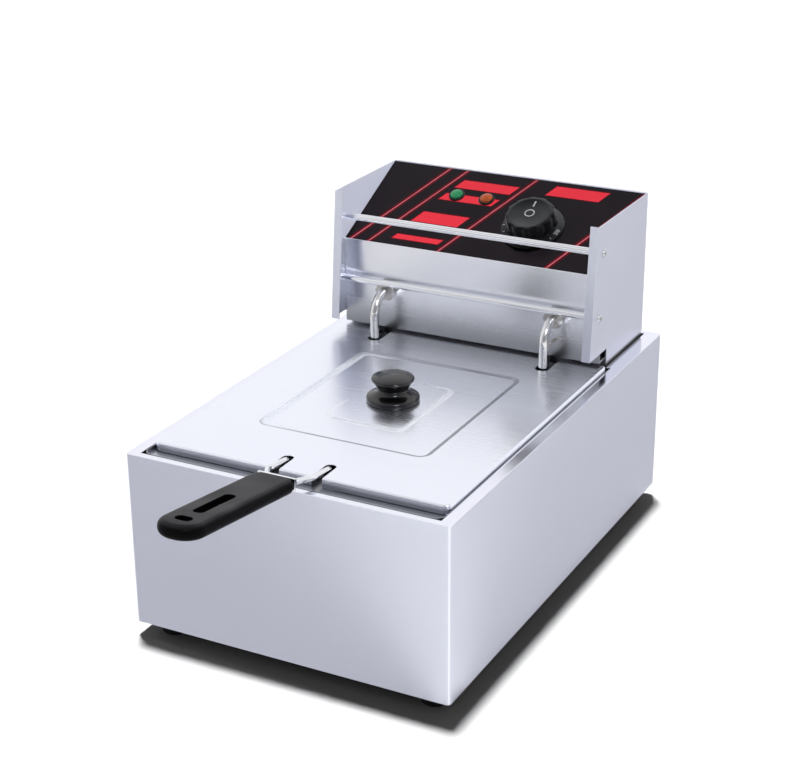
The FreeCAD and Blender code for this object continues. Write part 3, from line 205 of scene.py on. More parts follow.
def cornerMask(start, corner):  # the upright corners of a box
    x, y = axes(start)[:2]
    half = (corner["high"] - corner["low"]) / 2 / mm
    middle = (corner["high"] + corner["low"]) / 2 / mm
    pastX = abs(x) > half.x - corner["radius"]
    pastY = abs(y - middle.y) > half.y - corner["radius"]
    return pastX * pastY


def bowed(start, bow, normal):  # a sheet that falls away a little towards the front, in millimetres
    run = (bow["rear"] - axes(start)[1]) | 0.0
    fall = run * run * (-bow["slope"] / (2 * (bow["rear"] - bow["front"])))
    return start.node("ShaderNodeBump", values={"Distance": mm, "Height": fall, "Normal": normal})


paintedLight = {"creases": paintedLineMask, "bands": bandMask, "corners": cornerMask}  # painted shade and highlights that a look may add
allSteel = {  # what every steel finish shares
    "detail": 4.0, "shares": (0.6, 0.4), "marks": 300.0, "markDetail": 2.0, "markShare": 0.2, "depth": 0.05,
}


def steelFinish(name, look):
    def build(start):
        grain = noise(start, 1.0, look["grain"], allSteel["detail"])  # rolled or brushed lines
        cloud = noise(start, look["cloud"])  # slow change over the sheet
        mark = noise(start, allSteel["marks"], detail=allSteel["markDetail"])
        grainShare, cloudShare = allSteel["shares"]
        tint = mixed(start, grain * grainShare + cloud * cloudShare, look["shade"], look["tint"])
        rough = look["rough"] + about(grain, look["swing"]) + about(cloud, look["smear"])
        # each mask paints shade or highlight into the tint
        for kind, maskFor in paintedLight.items():
            for row in look.get(kind, ()):
                mask = maskFor(start, row)
                tint = mixed(start, mask, tint, row["tint"])
                rough = rough + mask * row["rougher"]
        height = grain + mark * allSteel["markShare"]
        normal = bumped(start, height, look["lines"], allSteel["depth"])
        if "bow" in look:
            normal = bowed(start, look["bow"], normal)
        values = {"Base Color": tint, "Metallic": 1.0, "Roughness": rough, "Normal": normal}
        return start.node("ShaderNodeBsdfPrincipled", values=values)
    return newFinish(name, build)


sheetLook = {  # casing and head sheets: lines run level
    "tint": (0.69, 0.705, 0.795), "shade": (0.63, 0.645, 0.73), "grain": (5.0, 5.0, 2600.0),
    "rough": 0.34, "swing": 0.1, "smear": 0.06, "cloud": 6.0, "lines": 0.12,
}
casingLook = {  # the folded top edge is polished and carries a painted highlight; the upright corners carry a painted highlight
    **sheetLook,
    # painted highlight down the upright corners
    "corners": ({
        "low": casingLow, "high": casingHigh, "radius": 1.6,
        "tint": (0.88, 0.89, 0.96), "rougher": 0.0,
    },),
    # painted highlight along the smoother top edge
    "bands": ({
        "from": casingTop - 0.7, "to": casingTop - 0.4, "weight": 1.0,
        "tint": (0.86, 0.87, 0.95), "rougher": -0.2,
    },),
}
lidLook = {  # bright sheet, lines run side to side
    "creases": (  # painted lines of shade and highlight round the pressings; middles are millimetres behind the casing's front
        {  # painted shade line at the front and the right
            "middle": 181.0, "half": (76.0, 90.0, 9.0), "width": 2.6, "towards": (1, -1), "from": -0.1,
            "weight": 0.85, "tint": (0.22, 0.23, 0.26), "rougher": 0.0,
        },
        {  # painted highlight line at the left
            "middle": 181.0, "half": (74.0, 88.0, 9.0), "width": 4.2, "towards": (-1, 0), "from": 0.6,
            "weight": 1.0, "tint": (0.93, 0.95, 1.0), "rougher": 0.4,
        },
        {  # painted shade line at the rear
            "middle": 181.0, "half": (76.0, 90.0, 9.0), "width": 3.0, "towards": (0, 1), "from": 0.8,
            "weight": 0.9, "tint": (0.50, 0.51, 0.56), "rougher": 0.0,
        },
        {  # painted highlight line round the inner pressing
            "middle": 176.5, "half": (36.0, 48.5, 9.0), "width": 3.2, "towards": (1, -1), "from": -0.6,
            "weight": 0.9, "tint": (0.95, 0.965, 1.0), "rougher": 0.24,
        },
    ),
    "bands": ({  # the rim is in shade
        "from": lidTop - 1.6, "to": lidFoot + 2.0, "weight": 0.9,
        "tint": (0.20, 0.21, 0.24), "rougher": 0.0,
    },),
    "bow": {"rear": 70.0, "front": -131.0, "slope": 0.085},  # millimetres along the part
    "tint": (0.91, 0.93, 1.0), "shade": (0.84, 0.86, 0.93), "grain": (2.5, 1100.0, 2.5),
    "rough": 0.26, "swing": 0.1, "smear": 0.05, "cloud": 7.0, "lines": 0.05,
}
faceLook = {  # polished head face, with painted shade low down
    # painted shade that deepens towards the foot of the face
    "bands": ({
        "from": lidTop + 42.0, "to": lidTop + 3.0, "weight": 0.9,
        "tint": (0.28, 0.29, 0.30), "rougher": 0.04,
    },),
    "tint": (0.96, 0.97, 1.0), "shade": (0.88, 0.89, 0.93), "grain": (4.0, 4.0, 1800.0),
    "rough": 0.25, "swing": 0.03, "smear": 0.06, "cloud": 12.0, "lines": 0.006,
}
innerLook = {
    "tint": (0.60, 0.61, 0.63), "shade": (0.50, 0.51, 0.53), "grain": (5.0, 900.0, 900.0),
    "rough": 0.38, "swing": 0.12, "smear": 0.1, "cloud": 9.0, "lines": 0.1,
}
tankLook = {
    "tint": (0.66, 0.67, 0.71), "shade": (0.60, 0.61, 0.65), "grain": (1800.0, 1800.0, 6.0),
    "rough": 0.3, "swing": 0.06, "smear": 0.08, "cloud": 11.0, "lines": 0.02,
}
brightLook = {  # plated rod and wire
    "tint": (0.88, 0.89, 0.91), "shade": (0.80, 0.81, 0.84), "grain": (30.0, 900.0, 900.0),
    "rough": 0.1, "swing": 0.06, "smear": 0.05, "cloud": 40.0, "lines": 0.04,
}
basketLook = {**brightLook, "tint": (0.72, 0.73, 0.76), "shade": (0.58, 0.59, 0.62), "rough": 0.2}
sheathLook = {
    "tint": (0.82, 0.82, 0.83), "shade": (0.68, 0.67, 0.66), "grain": (600.0, 600.0, 40.0),
    "rough": 0.16, "swing": 0.08, "smear": 0.1, "cloud": 30.0, "lines": 0.05,
}
zincLook = {
    "tint": (0.70, 0.71, 0.72), "shade": (0.55, 0.56, 0.58), "grain": (500.0, 500.0, 500.0),
    "rough": 0.3, "swing": 0.14, "smear": 0.1, "cloud": 120.0, "lines": 0.08,
}
nickelLook = {
    "tint": (0.62, 0.61, 0.58), "shade": (0.46, 0.45, 0.43), "grain": (900.0, 40.0, 900.0),
    "rough": 0.22, "swing": 0.1, "smear": 0.1, "cloud": 90.0, "lines": 0.06,
}
brassLook = {
    "tint": (0.78, 0.60, 0.30), "shade": (0.56, 0.40, 0.18), "grain": (900.0, 40.0, 900.0),
    "rough": 0.28, "swing": 0.1, "smear": 0.14, "cloud": 90.0, "lines": 0.06,
}
copperLook = {  # tinned
    "tint": (0.76, 0.70, 0.66), "shade": (0.52, 0.46, 0.42), "grain": (400.0, 400.0, 400.0),
    "rough": 0.3, "swing": 0.1, "smear": 0.16, "cloud": 70.0, "lines": 0.05,
}
canLook = {
    "tint": (0.74, 0.74, 0.75), "shade": (0.62, 0.62, 0.63), "grain": (700.0, 60.0, 700.0),
    "rough": 0.34, "swing": 0.1, "smear": 0.1, "cloud": 80.0, "lines": 0.06,
}


# Moulded finishes

allMoulded = {  # what every moulded finish shares
    "detail": 2.0, "cloud": 45.0, "smear": 0.06, "depth": 0.05,
    # the painted sheen: which faces count as up, and how its patches break up
    "upward": (0.55, 0.95), "sheenPatchesDetail": 1.0, "sheenPatchesGain": 2.2, "sheenPatchesDrop": 0.4,
}


def upward(start):  # grows as a surface turns to face up
    normal = start.node("ShaderNodeTexCoord", output="Normal")
    return smoothStep(start, split(start, normal)[2], *allMoulded["upward"])


def mouldedFinish(name, look):
    def build(start):
        speckle = noise(start, look["grain"], detail=allMoulded["detail"])
        cloud = noise(start, allMoulded["cloud"])
        tint = mixed(start, cloud, look["tint"], look["worn"])
        # painted sheen on faces that look up, broken into patches
        if "crown" in look:
            handled = noise(start, look["handled"], detail=allMoulded["sheenPatchesDetail"])
            patches = handled * allMoulded["sheenPatchesGain"] - allMoulded["sheenPatchesDrop"]
            tint = mixed(start, upward(start) * patches, tint, look["crown"])
        values = {
            "Base Color": tint,
            "Roughness": look["rough"] + about(speckle, look["swing"]) + about(cloud, allMoulded["smear"]),
            "Normal": bumped(start, speckle, look["pits"], allMoulded["depth"]),
            "Specular IOR Level": look["gloss"],
        }
        return start.node("ShaderNodeBsdfPrincipled", values=values)
    return newFinish(name, build)


knobLook = {
    "tint": (0.006, 0.006, 0.007), "worn": (0.012, 0.012, 0.013), "grain": 1400.0,
    "rough": 0.09, "swing": 0.03, "pits": 0.02, "gloss": 0.5,
}
# the top carries a painted sheen
dialLook = {
    "tint": (0.003, 0.003, 0.004), "worn": (0.007, 0.007, 0.008), "crown": (0.040, 0.042, 0.043),
    "handled": 40.0, "grain": 1800.0, "rough": 0.26, "swing": 0.08, "pits": 0.06, "gloss": 0.09,
}
gripLook = {  # painted sheen on top, in patches
    "tint": (0.002, 0.002, 0.002), "worn": (0.004, 0.004, 0.005), "crown": (0.044, 0.044, 0.047),
    "handled": 26.0, "grain": 1600.0, "rough": 0.36, "swing": 0.14, "pits": 0.2, "gloss": 0.035,
}
housingLook = {
    "tint": (0.035, 0.035, 0.038), "worn": (0.06, 0.06, 0.064), "grain": 900.0,
    "rough": 0.5, "swing": 0.12, "pits": 0.2, "gloss": 0.4,
}
rubberLook = {
    "tint": (0.006, 0.006, 0.006), "worn": (0.014, 0.014, 0.013), "grain": 700.0,
    "rough": 0.75, "swing": 0.15, "pits": 0.3, "gloss": 0.2,
}
figureLook = {
    "tint": (0.46, 0.46, 0.47), "worn": (0.34, 0.34, 0.35), "grain": 900.0,
    "rough": 0.5, "swing": 0.1, "pits": 0.05, "gloss": 0.3,
}


# Lamp lenses

def lensFinish(name, look):
    def build(start):
        depth = noise(start, look["grain"], detail=look["detail"])
        values = {
            "Base Color": mixed(start, depth, look["deep"], look["tint"]),
            "Roughness": look["rough"] + depth * look["swing"],
            "Coat Weight": look["coat"],
            "Specular IOR Level": look["gloss"],
            "Emission Color": (*look["tint"], 1.0),
            "Emission Strength": look["glow"],
        }
        return start.node("ShaderNodeBsdfPrincipled", values=values)
    return newFinish(name, build)


lensLook = {
    "grain": 260.0, "detail": 1.0, "rough": 0.1, "swing": 0.08, "coat": 0.2, "gloss": 0.25, "glow": 0.12,
}
greenLook = {**lensLook, "tint": (0.02, 0.27, 0.10), "deep": (0.005, 0.12, 0.04)}
amberLook = {**lensLook, "tint": (0.46, 0.085, 0.012), "deep": (0.20, 0.03, 0.006)}


# Control panel: its own axes come from the dial's joint

dialSpot = Vector(joints["thermostat_turn"]["pos_m"])
panelOut = -Vector(joints["thermostat_turn"]["axis"]).normalized()
panelUp = panelOut.cross(Vector((1, 0, 0))).normalized()
panelTurn = Matrix((Vector((1, 0, 0)), panelUp, panelOut)).transposed().to_4x4()


def onPanel(spot):  # the place on the sheet under a spot
    return Matrix.Translation(spot - panelOut * (spot - dialSpot).dot(panelOut)) @ panelTurn


filmLook = {  # millimetres: across from the middle, up the slope from the dial
    "ground": (0.009, 0.007, 0.009), "hazed": 1.6, "haze": 35.0,
    "red": (0.70, 0.035, 0.055), "edge": (0.10, 0.004, 0.008), "core": (0.50, 0.12, 0.15),
    "blocks": (  # left, right, low and high
        (-50, 7, 37, 50), (-71, -23, -14, 2), (39, 92, 43, 58), (-81, -33, -39, -31), (-59, -4, 19, 30),
    ),
    "outline": 0.9, "slant": 0.49,
    "lines": (-67, -49, 21, 126), "top": 61.0, "lineHalf": 3.0, "coreHalf": 0.75,
    "fine": 1500.0, "fineDetail": 1.0, "pits": 0.05, "depth": 0.03,
    "rough": 0.2, "swing": 0.1, "gloss": 0.05,
}


def filmFinish(name, look):
    def build(start):
        x, y, z = axes(start)
        rise = (y - dialSpot.y / mm) * panelUp.y + (z - dialSpot.z / mm) * panelUp.z

        def leant(level):  # across, following the slant from a level
            return x - (rise - level) * look["slant"]

        def slab(block, rim):  # one printed block, drawn in by a rim
            left, right, low, high = block
            across = leant((low + high) / 2)
            within = (across > left + rim) * (across < right - rim)
            return within * (rise > low + rim) * (rise < high - rim)

        whole = reduce(or_, [slab(block, 0.0) for block in look["blocks"]])
        inner = reduce(or_, [slab(block, look["outline"]) for block in look["blocks"]])
        gaps = [abs(leant(look["top"]) - across) for across in look["lines"]]
        lines = reduce(or_, [gap < look["lineHalf"] for gap in gaps])
        cores = reduce(or_, [gap < look["coreHalf"] for gap in gaps])
        haze = noise(start, look["haze"])
        fine = noise(start, look["fine"], detail=look["fineDetail"])
        tint = mixed(start, haze, look["ground"], scaled(look["ground"], look["hazed"]))
        for mask, ink in ((whole | lines, "edge"), (inner, "red"), (cores, "core")):
            tint = mixed(start, mask, tint, look[ink])
        values = {
            "Base Color": tint,
            "Roughness": look["rough"] + haze * look["swing"],
            "Specular IOR Level": look["gloss"],
            "Normal": bumped(start, fine, look["pits"], look["depth"]),
        }
        return start.node("ShaderNodeBsdfPrincipled", values=values)
    return newFinish(name, build)


# Every node starts with the finish of its slot

finishes = {}
for finishFor, looks in (
    (steelFinish, {
        "casing_steel": casingLook, "head_steel": sheetLook, "lid_steel": lidLook, "face_steel": faceLook,
        "inner_steel": innerLook, "tank_steel": tankLook, "bright_rod": brightLook,
        "bright_wire": brightLook, "basket_wire": basketLook, "element_sheath": sheathLook,
        "zinc_fastener": zincLook, "clip_steel": zincLook, "spindle_steel": zincLook,
        "bracket_steel": brightLook, "gland_nickel": nickelLook, "terminal_brass": brassLook,
        "capillary_copper": copperLook, "cutout_can": canLook,
    }),
    (mouldedFinish, {
        "knob_plastic": knobLook, "dial_plastic": dialLook, "grip_plastic": gripLook,
        "dark_housing": housingLook, "foot_rubber": rubberLook, "figures": figureLook,
    }),
    (lensFinish, {"green_lens": greenLook, "amber_lens": amberLook}),
    (filmFinish, {"panel_film": filmLook}),
):
    for title, look in looks.items():
        finishes[title] = finishFor(title + "_finish", look)
for title, solid in nodes.items():
    solid.data.materials.clear()
    solid.data.materials.append(finishes[slotOf[title]])
print("finishes made:", len(finishes))


# Making pieces

weldGap = 0.001 * mm
flatFold = math.radians(0.5)  # a smaller fold is one flat face
alongAxis = 0.9  # cosine from which a direction counts as along an axis
sides = {"top": (0, 0, 1), "bottom": (0, 0, -1), "rear": (0, 1, 0), "front": (0, -1, 0)}


def weld(shape):
    bmesh.ops.remove_doubles(shape, verts=shape.verts, dist=weldGap)


def put(shape, place):
    bmesh.ops.transform(shape, matrix=place, verts=shape.verts)


def gather(target, extra):
    flat = bpy.data.meshes.new("extra")
    extra.to_mesh(flat)
    extra.free()
    target.from_mesh(flat)
    bpy.data.meshes.remove(flat)


def settleShading(shape, limit=35.0):  # folds under the limit, in degrees, shade round
    for face in shape.faces:
        face.smooth = True
    for edge in shape.edges:
        edge.smooth = edge.is_manifold and edge.calc_face_angle(0.0) < math.radians(limit)


def sharpEdges(shape, limit=40.0):  # degrees
    folds = [edge for edge in shape.edges if edge.is_manifold]
    return [edge for edge in folds if edge.calc_face_angle(0.0) > math.radians(limit)]


def uprightEdges(shape):
    folds = [edge for edge in shape.edges if edge.is_manifold]
    runs = [(edge.verts[0].co - edge.verts[1].co).normalized() for edge in folds]
    return [edge for edge, run in zip(folds, runs) if abs(run.z) > alongAxis]


def bevelled(shape, edges, width, segments=2, clamp=False):  # width in millimetres
    bmesh.ops.bevel(
        shape, geom=edges, offset=width * mm, affect="EDGES", segments=segments, profile=0.5,
        material=-1, clamp_overlap=clamp,
    )


def nodeShape(node):  # a copy of a node's mesh, its triangles joined
    shape = bmesh.new()
    shape.from_mesh(nodes[node].data)
    weld(shape)
    return shape


def blockShape(place):  # a cube of one metre, sized and put by its place
    shape = bmesh.new()
    bmesh.ops.create_cube(shape, size=1.0)
    put(shape, place)
    return shape


def boxShape(low, high, without):  # a box with some of its sides left open
    shape = blockShape(Matrix.Translation((low + high) / 2) @ Matrix.Diagonal((*(high - low), 1)))
    for side in without:
        gone = [face for face in shape.faces if face.normal.dot(Vector(sides[side])) > alongAxis]
        bmesh.ops.delete(shape, geom=gone, context="FACES_ONLY")
    loose = [edge for edge in shape.edges if not edge.link_faces]
    bmesh.ops.delete(shape, geom=loose, context="EDGES")
    return shape


def easedLine(corners, steps=7):  # corners of an outline, each with how far its rounding reaches
    spots = [Vector(corner[:2]) for corner in corners]
    line = []
    for index, (radius, height, reach) in enumerate(corners):
        if not reach:
            line.append((radius, height))
            continue
        corner = spots[index]
        ends = [corner + (spots[index + side] - corner).normalized() * reach for side in (-1, 1)]
        handles = [end.lerp(corner, 2 / 3) for end in ends]  # for a parabola
        line += [tuple(spot[:2]) for spot in interpolate_bezier(ends[0], *handles, ends[1], steps)]
    return line


def turned(profile, steps):  # radius and height pairs, in millimetres, spun about the upright
    shape = bmesh.new()
    line = [shape.verts.new((radius * mm, 0, height * mm)) for radius, height in profile]
    edges = [shape.edges.new(pair) for pair in zip(line, line[1:])]
    bmesh.ops.spin(
        shape, geom=line + edges, cent=(0, 0, 0), axis=(0, 0, 1), dvec=(0, 0, 0),
        angle=2 * math.pi, steps=steps, use_merge=True, use_duplicate=False,
    )
    weld(shape)
    bmesh.ops.recalc_face_normals(shape, faces=shape.faces)
    return shape


def addObject(name, data):
    made = bpy.data.objects.new(name, data)
    bpy.context.scene.collection.objects.link(made)
    return made


def meshObject(name, shape, finish):
    mesh = bpy.data.meshes.new(name)
    shape.to_mesh(mesh)
    shape.free()
    mesh.materials.append(finish)
    return addObject(name, mesh)


def newPiece(name, shape, finish, body):
    piece = meshObject(name, shape, finish)
    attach(piece, body)
    return piece


def standIn(name, shape, node):  # takes a node's place, with its finish and its body
    piece = newPiece(name, shape, finishes[slotOf[node]], bodyOf[node])
    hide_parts(node)
    return piece


# Folded sheets and mouldings: the solids with eased edges

easedForm = {  # how far edges are eased, in millimetres, and from which fold on, in degrees
    "casingShell": {"node": "outer_casing", "width": 0.42},
    "leftCheek": {"node": "side_panel_left", "width": 0.36},
    "rightCheek": {"node": "side_panel_right", "width": 0.36},
    "headFace": {"node": "front_panel", "width": 0.36},
    "rearSheet": {"node": "rear_cover", "width": 0.36},
    "lidSheet": {"node": "lid_panel", "width": 0.4, "limit": 12.0},
    "panelFilm": {"node": "panel_overlay", "width": 0.1},
    "tankShell": {"node": "oil_tank", "width": 0.3},
    "handlePlate": {"node": "handle_bracket", "width": 0.5},
    "handleRods": {"node": "handle_wires", "width": 0.2, "limit": 50.0},
    "gripBody": {"node": "handle_grip", "width": 0.5},
    "cordGland": {"node": "mains_gland", "width": 0.5},
    "legGlands": {"node": "element_glands", "width": 0.4},
    "footFrontLeft": {"node": "foot_front_left", "width": 0.8, "limit": 30.0},
    "footFrontRight": {"node": "foot_front_right", "width": 0.8, "limit": 30.0},
    "footRearLeft": {"node": "foot_rear_left", "width": 0.8, "limit": 30.0},
    "footRearRight": {"node": "foot_rear_right", "width": 0.8, "limit": 30.0},
}


def softSheet(name, node, width, limit=40.0):
    shape = nodeShape(node)
    bmesh.ops.dissolve_limit(shape, angle_limit=flatFold, verts=shape.verts, edges=shape.edges)
    bevelled(shape, sharpEdges(shape, limit), width)
    settleShading(shape)
    piece = standIn(name, shape, node)
    even = piece.modifiers.new("evenNormals", "WEIGHTED_NORMAL")  # keeps broad faces flat
    even.keep_sharp = True
    return piece


sheets = {title: softSheet(title, **form) for title, form in easedForm.items()}
for title in ("gripBody", "handlePlate", "handleRods"):
    sheets[title].visible_shadow = False  # the light under the grip is even
sheets["panelFilm"].visible_glossy = False  # brushed cheeks beside the film stay pale
sheets["casingShell"].visible_diffuse = False  # its shadow stays plain
print("sheets eased")


# Upturned edge of the tank's flange, in the gap between the casing's top edge and the lid

flangeForm = {"gauge": 0.35, "corner": 8.0, "rise": 3.6, "steps": 6}  # millimetres
flangeLow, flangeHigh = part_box("oil_tank")
edgeShape = boxShape(
    Vector((flangeLow.x, flangeLow.y, flangeHigh.z)),
    Vector((flangeHigh.x, lidHigh.y, flangeHigh.z + flangeForm["rise"] * mm)),
    without=("top", "bottom", "rear"),
)
bevelled(edgeShape, uprightEdges(edgeShape), flangeForm["corner"], flangeForm["steps"])
bmesh.ops.solidify(edgeShape, geom=edgeShape.faces[:], thickness=flangeForm["gauge"] * mm)
settleShading(edgeShape)
newPiece("flangeEdge", edgeShape, finishes["tank_steel"], "base")


# Louvre hoods over the slots of the rear sheet

hoodForm = {  # millimetres
    "half": 46.5, "low": 227.0, "pitch": 11.0, "count": 5, "rise": 6.0, "out": 3.4, "sunk": 0.1,
    "round": 2.6, "steps": 4, "gauge": 0.5,
}
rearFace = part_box("rear_cover")[1].y
hoodShape = bmesh.new()
for index in range(hoodForm["count"]):
    level = (hoodForm["low"] + index * hoodForm["pitch"]) * mm
    hood = boxShape(
        Vector((-hoodForm["half"] * mm, rearFace - hoodForm["sunk"] * mm, level)),
        Vector((hoodForm["half"] * mm, rearFace + hoodForm["out"] * mm, level + hoodForm["rise"] * mm)),
        without=("bottom", "front"),
    )
    bevelled(hood, sharpEdges(hood), hoodForm["round"], hoodForm["steps"])
    bmesh.ops.solidify(hood, geom=hood.faces[:], thickness=hoodForm["gauge"] * mm)
    settleShading(hood)
    gather(hoodShape, hood)
newPiece("louvreHoods", hoodShape, finishes["head_steel"], "head")
print("flange edge and louvres made")


# Lid knob

lidKnobForm = {
    "corners": (  # radius, height and rounding, in millimetres
        (0, 0, 0), (22.5, 0, 1.3), (22.5, 4.4, 1.4), (10.5, 9.05, 7), (19.5, 20.4, 3.6),
        (15.2, 21.4, 0), (14.6, 21.7, 0), (8.6, 23.4, 6.2), (0, 23.4, 0),
    ),
    "steps": 72, "smooth": 50.0,
}
lidKnobLow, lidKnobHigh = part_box("lid_knob")
knobShape = turned(easedLine(lidKnobForm["corners"]), lidKnobForm["steps"])
settleShading(knobShape, lidKnobForm["smooth"])
put(knobShape, Matrix.Translation((0, (lidKnobLow.y + lidKnobHigh.y) / 2, lidKnobLow.z)))
standIn("lidKnob", knobShape, "lid_knob")
print("lid knob turned")


# Dial: fluted body on a skirt, with figures and a pointer

dialForm = {  # millimetres, and degrees round the skirt
    "profile": (  # radius and height
        (0, 1.4), (28.1, 1.4), (28.5, 1.8), (28.5, 2.7), (28.1, 3.1), (23.9, 4.2), (23.1, 4.6), (22.9, 5.4),
        (22.8, 7), (22.4, 15.8), (22, 17.2), (20.8, 18), (19, 18.3), (17.6, 18.3), (17.2, 18), (0, 18),
    ),
    "steps": 120, "smooth": 40.0, "flutes": 12, "cut": 0.085, "foot": 5.0, "head": 17.6, "rim": 19.5,
    "figures": (("0", 0), ("50", 80), ("100", 140), ("150", 200), ("200", 260)),
    "figureSize": 4.6, "figureRing": 26.0, "figureLift": 3.75, "figureLean": -14.0,
    "ticks": (100, 120, 160, 180, 220, 240), "tickLength": 2.2, "tickWidth": 0.5,
    "pointer": (7.0, 1.3), "pointerSpot": 12.2, "ring": (3.6, 4.7), "ringSteps": 48,
    "capLift": 18.07, "printed": 0.1,
}
onDial = onPanel(dialSpot)


def onSkirt(angle):  # tops of the figures point to the middle
    spin = Matrix.Rotation(math.radians(angle), 4, "Z")
    out = Matrix.Translation((0, dialForm["figureRing"] * mm, dialForm["figureLift"] * mm))
    lean = Matrix.Rotation(math.radians(dialForm["figureLean"]), 4, "X")
    return onDial @ spin @ out @ lean


def onCap(up):
    return onDial @ Matrix.Translation((0, up * mm, dialForm["capLift"] * mm))


def figureShape(words, height, thick):
    curve = bpy.data.curves.new("figure", "FONT")
    curve.body = words
    curve.size = height * mm
    curve.extrude = thick * mm / 2
    curve.align_x = "CENTER"
    curve.align_y = "CENTER"
    holder = bpy.data.objects.new("figure", curve)
    shape = bmesh.new()
    shape.from_mesh(holder.to_mesh())
    weld(shape)
    holder.to_mesh_clear()
    bpy.data.objects.remove(holder)
    bpy.data.curves.remove(curve)
    return shape


def barShape(length, width, thick):  # a printed stroke
    return blockShape(Matrix.Diagonal((width * mm, length * mm, thick * mm, 1)))


def ringShape(inner, outer, thick, steps):  # a printed ring
    low = -thick / 2
    high = thick / 2
    return turned(((inner, low), (outer, low), (outer, high), (inner, high), (inner, low)), steps)


dialShape = turned(dialForm["profile"], dialForm["steps"])
for vert in dialShape.verts:
    reach = math.hypot(vert.co.x, vert.co.y) / mm
    if reach > dialForm["rim"] and dialForm["foot"] < vert.co.z / mm < dialForm["head"]:
        wave = 0.5 + 0.5 * math.cos(dialForm["flutes"] * math.atan2(vert.co.y, vert.co.x))
        shrink = 1 - dialForm["cut"] * wave ** 2
        vert.co.x *= shrink
        vert.co.y *= shrink
settleShading(dialShape, dialForm["smooth"])
put(dialShape, onDial)
standIn("dialBody", dialShape, "thermostat_knob")

printShape = bmesh.new()
for words, angle in dialForm["figures"]:
    figure = figureShape(words, dialForm["figureSize"], dialForm["printed"])
    put(figure, onSkirt(angle) @ Matrix.Rotation(math.pi, 4, "Z"))
    gather(printShape, figure)
for angle in dialForm["ticks"]:
    tick = barShape(dialForm["tickLength"], dialForm["tickWidth"], dialForm["printed"])
    put(tick, onSkirt(angle))
    gather(printShape, tick)
pointer = barShape(*dialForm["pointer"], dialForm["printed"])
put(pointer, onCap(dialForm["pointerSpot"]))
gather(printShape, pointer)
capRing = ringShape(*dialForm["ring"], dialForm["printed"], dialForm["ringSteps"])
put(capRing, onCap(0))
gather(printShape, capRing)
newPiece("dialFigures", printShape, finishes["figures"], "knob")
print("dial made")


# Lamps: domed lenses on their barrels, each in a bezel

lampForm = {  # radius, height and rounding, in millimetres
    "lens": (
        (0, -20, 0), (4.8, -20, 0), (4.8, 0.4, 0), (5.9, 0.4, 0), (6, 1.6, 0),
        (5.8, 2.9, 1.1), (2.6, 4, 2.2), (0, 4, 0),
    ),
    "bezel": ((6.1, 0.4, 0), (7.5, 0.4, 0.1), (7.5, 1.6, 0.7), (6.1, 1.6, 0.4), (6.1, 0.4, 0)),
    "steps": 40, "bezelSmooth": 30.0,
}
bezelShape = bmesh.new()
for title, node in (("powerLens", "power_lamp"), ("heatingLens", "heating_lamp")):
    lampSpot = onPanel(sum(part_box(node), Vector()) / 2)
    lens = turned(easedLine(lampForm["lens"]), lampForm["steps"])
    settleShading(lens)
    put(lens, lampSpot)
    standIn(title, lens, node)
    ring = turned(easedLine(lampForm["bezel"]), lampForm["steps"])
    settleShading(ring, lampForm["bezelSmooth"])
    put(ring, lampSpot)
    gather(bezelShape, ring)
newPiece("lampBezels", bezelShape, finishes["dial_plastic"], "head")
print("lamps made")


# Basket: woven wire in the place of the tub

meshForm = {  # millimetres
    "pitch": 8.0, "wire": 1.5, "slack": 0.01,
    "corner": 15.0, "cornerSteps": 3, "sweep": 12.0, "sweepSteps": 2,
}
meshLow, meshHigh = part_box("basket_mesh")
inset = Vector((1, 1, 1)) * meshForm["wire"] / 2 * mm
basketShape = boxShape(meshLow + inset, meshHigh - inset, without=("top",))


def floorEdges(shape):
    level = min(vert.co.z for vert in shape.verts) + meshForm["slack"] * mm
    return [edge for edge in sharpEdges(shape) if all(vert.co.z < level for vert in edge.verts)]


for chosen, size, steps in (
    (uprightEdges, meshForm["corner"], meshForm["cornerSteps"]),
    (floorEdges, meshForm["sweep"], meshForm["sweepSteps"]),
):
    bevelled(basketShape, chosen(basketShape), size, steps, clamp=True)
for axis in range(3):
    count = round((meshHigh[axis] - meshLow[axis]) / (meshForm["pitch"] * mm))
    normal = Vector((axis == 0, axis == 1, axis == 2))
    for index in range(1, count):
        share = meshLow[axis] + (meshHigh[axis] - meshLow[axis]) * index / count
        everything = basketShape.verts[:] + basketShape.edges[:] + basketShape.faces[:]
        bmesh.ops.bisect_plane(basketShape, geom=everything, plane_co=normal * share, plane_no=normal)
basketPiece = standIn("basketWeave", basketShape, "basket_mesh")
weave = basketPiece.modifiers.new("weave", "WIREFRAME")
weave.thickness = meshForm["wire"] * mm
weave.use_replace = True
weave.use_boundary = True
print("basket woven")


# Pan-head screws with a cross recess

screwForm = {  # shares of the head's radius and rise; the rise in millimetres, the spin in radians
    "rings": ((0.0, 0.0), (1.0, 0.0), (0.98, 0.4), (0.88, 0.75), (0.66, 1.0)), "steps": 28, "smooth": 32.0,
    "arm": 0.42, "slot": 0.13, "depth": 0.62, "rise": 2.2, "spin": 0.7,
}


